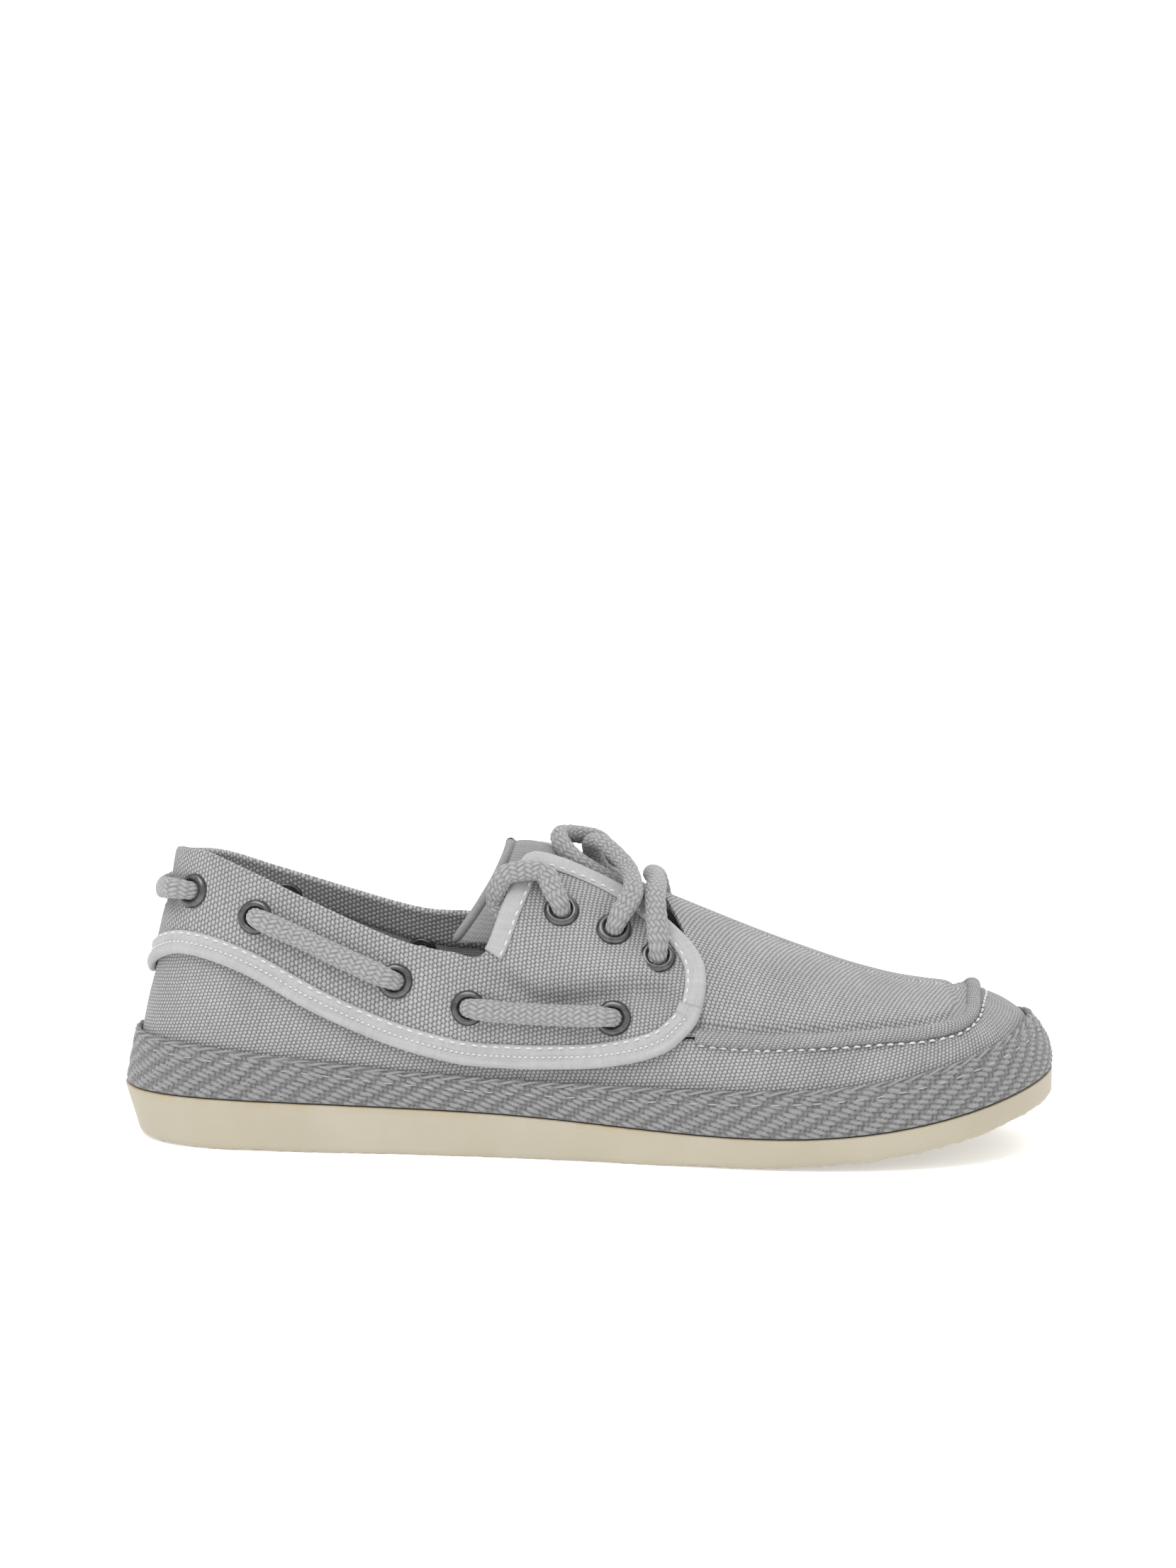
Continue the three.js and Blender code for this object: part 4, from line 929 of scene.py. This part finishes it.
def quarter(side):
    rows = 46
    u = np.linspace(0, 1, QUARTER_SPANS * 22 + 1)
    low, high = planar(QUARTER_LOW, u), planar(quarter_top(side), u)
    low[:, 0], high[:, 0] = np.maximum(low[:, 0], 0.0012), np.maximum(high[:, 0], 0.0012)
    collar = 1 - smooth(u * QUARTER_SPANS, FLAP_START - 0.6, FLAP_START + 0.4)
    # Cross-section: up the outside, over the rim and down the inside as a folded hem.
    v_out = np.linspace(0.03, 1, rows)
    turn = np.linspace(0, math.pi, 9)[1:-1]
    v_in, v_edge = np.linspace(1, 0.03, 26), 0.03
    hem_in = lerp(QUARTER_IN, -0.95, collar)[:, None]
    hem_end = 0.62
    inside = lerp(QUARTER_IN, hem_in, smooth(v_in[None], hem_end, hem_end + 0.05))
    middle, radius = (QUARTER_OUT + hem_in) / 2, (QUARTER_OUT - hem_in) / 2
    share = np.concatenate([v_out, np.ones(len(turn)), v_in, [v_edge]])[None] + 0 * u[:, None]
    out = np.concatenate([np.full((len(u), rows), QUARTER_OUT), middle + radius * np.cos(turn)[None], inside,
                          np.full((len(u), 1), QUARTER_OUT)], 1)
    at = lerp(low[:, None], high[:, None], share[..., None])
    roll = np.concatenate([np.zeros((len(u), rows)), radius * np.sin(turn)[None],
                           np.zeros((len(u), len(v_in) + 1))], 1)
    s, t = at[..., 0], at[..., 1]
    t = t + (roll * 0.8 - radius * collar[:, None] * 0.5 * (share > 0.999)) * level_at(side, s, 1.0)
    run = walk_length(side, s) if side < 0 else s * FEATHER.inner
    waves = furrows(side, s, t) * np.clip(np.minimum(share - 0.1, 0.95 - share) * 8, 0, 1)
    points = skin(side, s, t, out + waves)
    made = Build()
    made.tube(points, turned(np.stack([run, t * 95], -1), -14), 0.5)
    name = SIDES[side]
    piece = made.finish(f"quarter_canvas_{name}", CANVAS_LOOK, "canvas", replaces=[f"quarter_{name}"])
    punch(piece, side)


def lining(side):
    rim = [[min(s, APRON_REAR - 0.005), t - 0.012] for s, t in quarter_top(side)[:FLAP_FRONT + 1]]
    u = np.linspace(0, 1, FLAP_FRONT * 12 + 1)
    top = planar(rim, u)
    s = np.maximum(top[:, 0], 0.0012)
    v, out, roll = hem(-LINING, 0, 40, 16, 3)
    t = lerp(0.035, top[:, 1][:, None], v[None]) + roll[None] * level_at(side, s, 1.0)[:, None]
    step = wall_top(s)[:, None]
    high = lerp(LINING_OUT, COLLAR_LINING_OUT, smooth(t, step, step + 0.045))
    follow_folds = smooth(t, step + 0.02, step + 0.08) * (1 - smooth(t, top[:, 1:] - 0.07, top[:, 1:] - 0.01))
    folds = furrows(side, s[:, None], t) * follow_folds
    points = skin(side, s[:, None], t, high + out[None] + folds)
    made = Build()
    made.tube(points, np.stack([s[:, None] * FEATHER.outer + 0 * t, t * 95], -1), 0.5)
    name = SIDES[side]
    piece = made.finish(f"collar_cloth_{name}", LINING_LOOK, "lining", replaces=[f"collar_lining_{name}"])
    punch(piece, side)


def even(side, curve, start, end, spacing):
    """Places u along a pattern curve, evenly spaced on the shoe."""
    u = np.linspace(start, end, 1500)
    at = planar(curve, u)
    run = run_along(skin(side, at[:, 0], at[:, 1], 3))
    count = int(run[-1] / spacing) + 1
    return np.interp(np.linspace(0, run[-1], count), run, u), run[-1]


def edging(side, curve, start, end, profile, name, look, replaces, lift=0.0):
    """A tape swept along a pattern curve. profile is a closed list of (distance in, height out);
    lift raises its far end."""
    u, length = even(side, curve, start, end, 0.7)
    d, h = np.array([*profile, profile[0]], float).T
    s, t = aside(side, curve, u[:, None] + 0 * d, d[None] + 0 * u[:, None])
    run = np.linspace(0, length, len(u))
    waver = 0.10 * ripple(run, 0 * run, 6, 91 + side)[:, None] * (h > 2.6)
    raised = lift * smooth(u, 0.935, 0.97)[:, None]
    points = skin(side, np.maximum(s, 0.0008), t, h[None] + waver + raised)
    made = Build()
    made.tube(points, np.stack([run[:, None] + 0 * s, arc(points)], -1), 0.5)
    made.finish(name, look, "binding_tape", replaces=[replaces])


def edge_row(side, curve, start, end, distance, height):
    u, _ = even(side, curve, start, end, 0.8)
    s, t = aside(side, curve, u, np.full(len(u), distance))
    s = np.maximum(s, 0.0008)
    return skin(side, s, t, height), normal_at(side, s, t)


# Lower edging: flat above, a groove for the second stitch row, then a rolled edge.
LOWER_PROFILE = [
    (6.2, 2.42), (6.42, 2.7), (6.35, 3.05), (6.0, 3.25), (5.4, 3.3), (4.6, 3.32), (3.8, 3.28), (3.2, 3.1),
    (2.8, 2.95), (2.4, 3.1), (2.0, 3.5), (1.5, 3.85), (0.9, 4.0), (0.3, 3.9), (-0.3, 3.55), (-0.75, 2.95),
    (-0.85, 2.3), (-0.65, 1.7), (-0.2, 1.2), (0.4, 1.12), (1.4, 1.2), (2.2, 1.5), (3.4, 2.0), (5.0, 2.3),
]
# Flap edging: a tape folded round the flap's edge, with its outer and inner leg.
FLAP_PROFILE = [
    (-5.1, 2.42), (-5.35, 2.7), (-5.3, 3.05), (-4.9, 3.3), (-4.2, 3.36), (-3.2, 3.4), (-2.0, 3.42), (-1.0, 3.42),
    (-0.3, 3.3), (0.35, 2.95), (0.8, 2.3), (0.95, 1.4), (0.8, 0.5), (0.3, -0.4), (-0.5, -0.9), (-1.6, -1.05),
    (-3.0, -1.05), (-4.0, -0.95), (-4.4, -0.6), (-4.2, -0.25), (-2.5, 0.3), (-1.6, 0.9), (-1.6, 1.8), (-3.0, 2.3),
]
FLAP_FROM, FLAP_TO = (FLAP_START + 0.12) / QUARTER_SPANS, (QUARTER_SPANS - 0.12) / QUARTER_SPANS


def bindings(side):
    name = SIDES[side]
    edging(side, QUARTER_LOW, 0, 1, LOWER_PROFILE, f"lower_tape_{name}", BINDING_LOOK, f"lower_binding_{name}",
           lift=0.9)
    edging(side, quarter_top(side), FLAP_FROM, FLAP_TO, FLAP_PROFILE, f"flap_tape_{name}", BINDING_LOOK,
           f"flap_binding_{name}")
    rows = [(*edge_row(side, QUARTER_LOW, 0.004, 0.985, 5.55, 3.42), *LONG_STITCH),
            (*edge_row(side, QUARTER_LOW, 0.004, 0.985, 2.8, 3.1), *SHORT_STITCH),
            (*edge_row(side, quarter_top(side), FLAP_FROM, FLAP_TO, -4.5, 3.46), *LONG_STITCH)]
    rim = np.linspace(0.235, 0.47, 40)
    rows.append((skin(side, 0.0055, rim, QUARTER_OUT + 0.05), normal_at(side, 0.0055, rim), *RIM_STITCH))
    stitches(f"edge_stitches_{name}", rows)


RING = [
    (2.9, -1.3), (2.88, 0.5), (2.88, 2.7), (2.98, 3.25), (3.25, 3.62), (3.65, 3.82), (4.1, 3.84), (4.55, 3.7),
    (4.95, 3.4), (5.22, 2.98), (5.33, 2.55), (5.3, 2.3), (4.4, 2.2), (3.45, 2.15), (3.45, 0.5), (3.45, -0.9),
    (4.7, -1.05), (4.95, -1.35), (4.6, -1.7), (3.9, -1.85), (3.2, -1.7),
]


def eyelet(side, number, s, t):
    radius, height = np.array([*RING, RING[0]]).T
    angle = np.linspace(0, 2 * math.pi, 61)
    centre, axis = skin(side, s, t), normal_at(side, s, t)
    first = unit(np.cross(axis, [0, 0, 1.0]))
    second = np.cross(axis, first)
    spokes = first * np.cos(angle)[:, None] + second * np.sin(angle)[:, None]
    dent = 1 + 0.006 * np.sin(3 * angle + number) + 0.004 * np.sin(7 * angle + 2 * number)
    points = centre + spokes[:, None] * (radius[None] * dent[:, None])[..., None] + axis * height[None, :, None]
    points[-1] = points[0]
    made = Build()
    uv = np.stack(np.broadcast_arrays(angle[:, None] * 4, height[None]), -1)
    made.grid(points, uv, 0.5)
    made.finish(f"eyelet_ring_{SIDES[side]}_{number}", METAL_LOOK, "eyelet_metal",
                replaces=[f"eyelet_{SIDES[side]}_{number}"])


# ---- Laces -----------------------------------------------------------------------------------
OVER = 5.3          # the lace's centre where it lies on the canvas, out from the form
RIM_OVER = 6.1      # and beside an eyelet
HEEL_OVER = OVER - 1.1      # and round the heel
FLAT, ROUND, HEEL_SHAPE = (3.2, 2.35), (2.72, 2.6), (3.2, 2.0)      # half width and half thickness
STRANDS, BRAID_PITCH = 12, 2.1


def row(point, normal, shape=FLAT):
    return [*point, *normal, *shape]


def spot(side, s, t, out, shape=FLAT):
    return row(skin(side, s, t, out), normal_at(side, s, t), shape)


def through(side, hole, outwards, before, after):
    """The lace through one eyelet, from one side of the canvas to the other."""
    centre = skin(side, *hole, (QUARTER_OUT + FLANGE_BACK) / 2)
    normal = normal_at(side, *hole)
    axis = normal * outwards
    outside, inside = RIM_OVER - 0.35, LACE_INSIDE - 0.35

    def lean(towards):
        way = np.array(towards[:3]) - centre
        return unit(way - axis * way.dot(axis))
    come, go = lean(before), lean(after)
    ends = (inside, outside) if outwards > 0 else (outside, inside)
    start, end = (abs(e - 0.35) for e in ends)

    def at(height, way, step, shape):
        return row(centre + axis * height + way * step, normal + way * (0.6 if step < 1 else 0.1), shape)
    return [at(-start, come, 4.9, FLAT), at(-start * 0.86, come, 1.8, (2.9, 2.5)),
            at(-start * 0.45, come, 0.15, ROUND), at(0, come, 0, ROUND), at(end * 0.45, go, 0.15, ROUND),
            at(end * 0.86, go, 1.8, (2.9, 2.5)), at(end, go, 4.9, FLAT)]


def collar_half(side):
    e1, e2, e3, e4, e5 = COLLAR_EYELETS
    heel = spot(side, 0.045, 0.372, HEEL_OVER, HEEL_SHAPE)
    in12 = spot(side, 0.137, 0.372, LACE_INSIDE)
    out23 = [spot(side, 0.222, 0.331, OVER), spot(side, 0.268, 0.302, OVER)]
    in34 = spot(side, 0.35, 0.26, LACE_INSIDE)
    out45 = [spot(side, 0.425, 0.25, OVER + 0.1), spot(side, 0.478, 0.274, OVER + 0.1)]
    climb = [spot(side, 0.487, 0.36, LACE_ON_LINING), spot(side, 0.447, 0.45, LACE_ON_LINING),
             spot(side, 0.418, 0.52, LACE_ON_LINING)]
    hook = [spot(side, 0.4085, 0.56, -2.5), spot(side, 0.408, 0.6, 1.5), spot(side, 0.414, 0.637, 5.2),
            spot(side, 0.4265, 0.662, 6.7), spot(side, 0.4475, 0.684, 6.9)]
    tail = spot(side, 0.488, 0.53, LACE_INSIDE)
    return [heel, *through(side, e1, -1, heel, in12), in12, *through(side, e2, 1, in12, out23[0]), *out23,
            *through(side, e3, -1, out23[1], in34), in34, *through(side, e4, 1, in34, out45[0]), *out45,
            *through(side, e5, -1, out45[1], climb[0]), *climb, *hook,
            *through(side, FLAP_EYELETS[0], -1, hook[4], tail)]


OUTER_KNOT = [[14.2, -10.5, 83.4], [10, -5.8, 87.4], [5.2, -1, 90.3], [1.7, 2.7, 90], [1.9, 6, 85.8],
              [4.2, 5.6, 81.4], [8, 4.6, 78.6], [11, 3.5, 76]]
INNER_KNOT = [[3.3, 12.2, 89.6], [-1.8, 8.6, 91.5], [-6.2, 4.6, 92.4], [-8.2, 0.8, 92.4], [-6.6, -3.4, 89.8],
              [-2.4, -5.4, 85.8], [2.6, -5, 82.4], [7.5, -4.2, 79.4], [11, -3.4, 76.4]]
TIPS = [[14.8, 2.7, 72.6], [14.8, -2.7, 72.8]]
KNOT_HEART = np.array([3, 0.5, 84.0])


def front_half(side, rise, knot):
    _, f2, f3 = FLAP_EYELETS
    bar = [spot(side, 0.549, 0.9, LACE_OUTSIDE - 2), spot(side, 0.5495, 0.755, LACE_OUTSIDE)]
    inside = spot(side, 0.541, 0.582, LACE_INSIDE)
    tied = [row(p, unit(np.array(p) - KNOT_HEART), (2.85, 2.5)) for p in knot]
    return [bar[0], bar[1], *through(side, f3, -1, bar[1], inside)[:-1],
            *through(side, f2, 1, inside, rise)[1:], rise, *tied]


def braid(angle, length):
    """Radius and relief of a tubular braid of twelve and twelve strands, over two and under two;
    the relief gives painted shade where the strands dip under each other.
    """
    turn = STRANDS * angle / (2 * math.pi)
    a = turn + length / BRAID_PITCH + 0.15 * np.sin(length / 7)
    b = turn - length / BRAID_PITCH
    i, j = np.floor(a), np.floor(b)
    fa, fb = a - i, b - j
    kind = np.mod(j - i, 4)
    first = kind < 2
    across = np.where(first, fa, fb)
    share = np.where(first, (kind + fb) / 2, (3 - kind + fa) / 2)
    height = np.sqrt(np.sin(math.pi * across)) * np.clip(np.sin(math.pi * share), 0, 1) ** 0.4
    return 1 + 0.12 * (height - 0.62), height


def follow(path, wanted):
    """Normals that turn as little as they can along a path while settling towards those wanted."""
    ahead = unit(np.gradient(path, axis=0))
    normal = np.empty_like(path)
    now = wanted[0]
    for i, way in enumerate(ahead):
        now = unit(now - way * now.dot(way))
        goal = wanted[i] - way * wanted[i].dot(way)
        if goal.dot(now) < 0:
            goal = -goal
        now = unit(now + goal * 0.12)
        normal[i] = now
    return normal


def lace(rows, name, node):
    path, run = route(rows, 0.42)
    normal = follow(path[:, :3], unit(path[:, 3:6]))
    wobble = 1 + 0.03 * ripple(run, 0 * run, 9, 97)
    return cord(path[:, :3], normal, run, name, LACE_LOOK, "lace", braid, 64,
                scale=(path[:, 6] * wobble, path[:, 7] / wobble), replaces=[node])


def laces():
    back = spot(-1, 0, 0.368, HEEL_OVER, HEEL_SHAPE)
    lace([*collar_half(-1)[::-1], back, *collar_half(1)], "lace_collar", "collar_lace")
    crest = spot(1, 0.549, 1, LACE_OUTSIDE - 2.7)
    outer = front_half(-1, spot(-1, 0.529, 0.72, LACE_OUTSIDE + 0.6), OUTER_KNOT)
    inner = front_half(1, spot(1, 0.507, 0.73, LACE_OUTSIDE + 0.2), INNER_KNOT)
    lace([*outer[::-1], crest, *inner], "lace_front", "front_lace")
    for name, knot, tip in (("outer", OUTER_KNOT, TIPS[0]), ("inner", INNER_KNOT, TIPS[1])):
        start, end = np.array(knot[-1], float), np.array(tip, float)
        path = lerp(start, end, np.linspace(0.02, 1, 40)[:, None])
        run = np.linspace(0, 8, 40)
        round_end = np.sqrt(np.clip(1 - ((run - 7) / 1.02) ** 2, 0.02, 1)) * (run > 7) + (run <= 7)
        cord(path, np.tile([0.3, 1.0, 0.2], (40, 1)), run, f"lace_tip_{name}", TIP_LOOK, "aglet_plastic",
             lambda angle, length: (1 + 0 * angle * length, 0.5 + 0 * angle * length), 24,
             scale=(2.1 * round_end, 2.0 * round_end), replaces=[f"aglet_{name}"])


# ---- Tongue and inside -----------------------------------------------------------------------
def tongue_point(back, across):
    rear = TONGUE_REAR - TONGUE_REAR_SWEEP * across**2
    drop = list_at(TONGUE_DROP, 1 - back) * np.abs(across) ** TONGUE_ARCH
    return np.stack([lerp(TONGUE_ROOT, rear, back), across * list_at(TONGUE_HALF, 1 - back),
                     list_at(TONGUE_RIDGE, 1 - back) - drop], -1)


def tongue_at(back, across, depth):
    d = 0.02
    b, a = np.clip(back, d, 1 - d), np.clip(across, -1 + d, 1 - d)
    run = tongue_point(b + d, a) - tongue_point(b - d, a)
    span = tongue_point(b, a + d) - tongue_point(b, a - d)
    return tongue_point(back, across) + unit(np.cross(span, run)) * np.asarray(depth)[..., None]


def pillow(name, centre, lift, share_u, share_v, uv, look, slot, body, replaces, power=10):
    """Two skins either side of a middle surface that meet in a rounded edge. lift(amount) moves
    the middle surface's points."""
    round_u = np.sqrt(np.clip(1 - np.abs(2 * share_u - 1) ** power, 0, 1))
    round_v = np.sqrt(np.clip(1 - np.abs(2 * share_v - 1) ** power, 0, 1))
    fullness = round_u * round_v
    made = Build()
    for sign in (1, -1):
        made.grid(centre + lift(sign * fullness), uv, 0.5)
    return made.finish(name, look, slot, body, replaces)


def tongue():
    back = (1 - np.cos(np.linspace(0, math.pi, 90)))[:, None] / 2
    across = -np.cos(np.linspace(0, math.pi, 80))[None] + 0 * back
    back = back + 0 * across
    middle = tongue_at(back, across, np.full(back.shape, -TONGUE_THICK / 2))
    quilt = 0.3 * ripple(back * 49, across * 20, 9, 111)

    def lift(amount):
        return tongue_at(back, across, amount * (TONGUE_THICK / 2 + quilt * 0.5)) - tongue_point(back, across)
    pillow("tongue_pad", middle, lift, back, (across + 1) / 2, np.stack([back * 49, across * 20], -1),
           TONGUE_LOOK, "canvas", "tongue", ["tongue"])
    reach = 1 + (TONGUE_THICK / 2 - 0.4) / (TONGUE_ROOT - TONGUE_REAR)
    side = np.linspace(-1, 1, 121)
    path = tongue_at(np.full(121, reach), side, np.full(121, -TONGUE_THICK / 2))
    run = run_along(path)
    near_rear = np.full(121, 0.97)
    up = tongue_at(near_rear, side, np.full(121, 1.0)) - tongue_at(near_rear, side, np.zeros(121))
    end = np.sqrt(np.clip(1 - np.abs(side) ** 30, 0.01, 1))
    cord(path, up, run, "tongue_roll", TONGUE_LOOK, "binding_tape",
         lambda angle, length: (1.55 + 0.08 * ripple(length, angle * 2, 6, 113), 0.5 + 0 * angle * length), 26,
         scale=(end, end), body="tongue", replaces=["tongue_edge_roll"])


def inside_pad(name, bottom, top, clearance, look, slot, node, crown):
    s = np.linspace(0, 1, 150)[:, None]
    across = (1 - np.cos(np.linspace(0, math.pi, 60)))[None] / 2
    middle = (bottom + top) / 2

    def edge(side):
        return skin(side, s, level_at(side, s, middle), LINING_OUT - LINING - clearance)
    at = lerp(edge(-1), edge(1), across[..., None])
    dish = crown * (2 * np.abs(across - 0.5)) ** 3 + 0 * s
    at[..., 2] = sole_top(at[..., 0]) + middle + dish

    def lift(amount):
        return np.stack([0 * amount, 0 * amount, amount * (top - bottom) / 2], -1)
    return pillow(name, at, lift, s + 0 * across, across + 0 * s, at[..., :2], look, slot, "shoe", [node], 14)


def insides():
    pad = inside_pad("foam_pad", 2.6, 6.6, 0.6, FOAM_LOOK, "foam", "foam_footbed", 0.25)
    inside_pad("sock_cloth", 7.0, 7.8, 0.8, SOCK_LOOK, "lining", "sock_liner", 0.5)
    vault("vamp_cloth", lambda climb: APRON_REAR + 0 * climb, lambda s: 0.035 + 0 * s, LINING_OUT - LINING,
          LINING_OUT, LINING_LOOK, "lining", ["vamp_lining"], columns=(110, 130))
    hidden = (("insole_board", BOARD_LOOK, "fibre_board"), ("heel_counter", STIFF_LOOK, "stiffener"),
              ("toe_puff", STIFF_LOOK, "stiffener"))
    for node, look, slot in hidden:
        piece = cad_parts[node]
        piece.data.materials.clear()
        piece.data.materials.append(look)


# ---- Assembly --------------------------------------------------------------------------------
outsole()
foxing_tape()
tape_edge()
side_wall()
apron()
apron_ridge()
for foot_side in SIDES:
    quarter(foot_side)
    lining(foot_side)
    bindings(foot_side)
    for index, (hole_s, hole_t) in enumerate(EYELETS):
        eyelet(foot_side, index + 1, hole_s, hole_t)
path_, normal_, _ = band_path(lambda side, s: tape_edge_level(side, s) - level_at(side, s, 2.9), 3.15)
stitches("tape_stitches", [(path_, normal_, *TAPE_STITCH)], "foxing_weave", PALE_TAPE_LOOK)
laces()
tongue()
insides()


# ---- Floor, light and camera -----------------------------------------------------------------
def floor():
    mesh = bpy.data.meshes.new("floor")
    size = 12.0
    corners = [(-size, -size, 0), (size, -size, 0), (size, size, 0), (-size, size, 0)]
    mesh.from_pydata(corners, [], [(0, 1, 2, 3)])
    look = matt("pale_floor", (0.93, 0.93, 0.93), (0.9, 0.9, 0.9), 3.0, 0.00001, 0.8)
    glow = look.node_tree.nodes["Principled BSDF"].inputs
    glow["Emission Color"].default_value = (1, 1, 1, 1)
    glow["Emission Strength"].default_value = 0.35
    mesh.materials.append(look)
    plane = bpy.data.objects.new("floor", mesh)
    bpy.context.scene.collection.objects.link(plane)


def lamp(name, location, energy, size, target=(0, 0, 0.04)):
    data = bpy.data.lights.new(name, "AREA")
    data.energy, data.size = energy, size
    made = bpy.data.objects.new(name, data)
    made.location = location
    made.rotation_euler = (Vector(target) - Vector(location)).to_track_quat("-Z", "Y").to_euler()
    bpy.context.scene.collection.objects.link(made)


def camera():
    """85 mm lens, 5 degrees round and 10 degrees up, aimed above the shoe as it was framed."""
    azimuth, elevation, distance = math.radians(5), math.radians(10), 1.137
    lens, frame_width, frame_height = 85, 1659, 2212
    target_x, target_y = 826, 1395
    data = bpy.data.cameras.new("camera")
    data.lens, data.sensor_width = lens, 36
    data.clip_start, data.clip_end = 0.05, 50
    eye = bpy.data.objects.new("camera", data)
    back = Vector((math.sin(azimuth) * math.cos(elevation), -math.cos(azimuth) * math.cos(elevation),
                   math.sin(elevation)))
    eye.location = Vector((0, 0, 0.045)) + back * distance
    pixels = lens * frame_height / 36
    pitch = math.atan((target_y - frame_height / 2) / pixels)
    yaw = math.atan((target_x - frame_width / 2) / pixels)
    ahead = -back
    right = ahead.cross(Vector((0, 0, 1))).normalized()
    up = right.cross(ahead)
    ahead = ahead * math.cos(pitch) + up * math.sin(pitch)
    ahead = ahead * math.cos(yaw) - right * math.sin(yaw)
    eye.rotation_euler = ahead.to_track_quat("-Z", "Y").to_euler()
    bpy.context.scene.collection.objects.link(eye)
    bpy.context.scene.camera = eye


floor()
lamp("key", (-0.35, -0.75, 1.5), 14, 0.9)
lamp("rim", (0.6, 0.9, 0.9), 5, 0.8)
world = bpy.data.worlds.new("studio")
world.use_nodes = True
world.node_tree.nodes["Background"].inputs["Color"].default_value = (1, 1, 1, 1)
world.node_tree.nodes["Background"].inputs["Strength"].default_value = 1.0
bpy.context.scene.world = world
bpy.context.scene.view_settings.view_transform = "Standard"
camera()
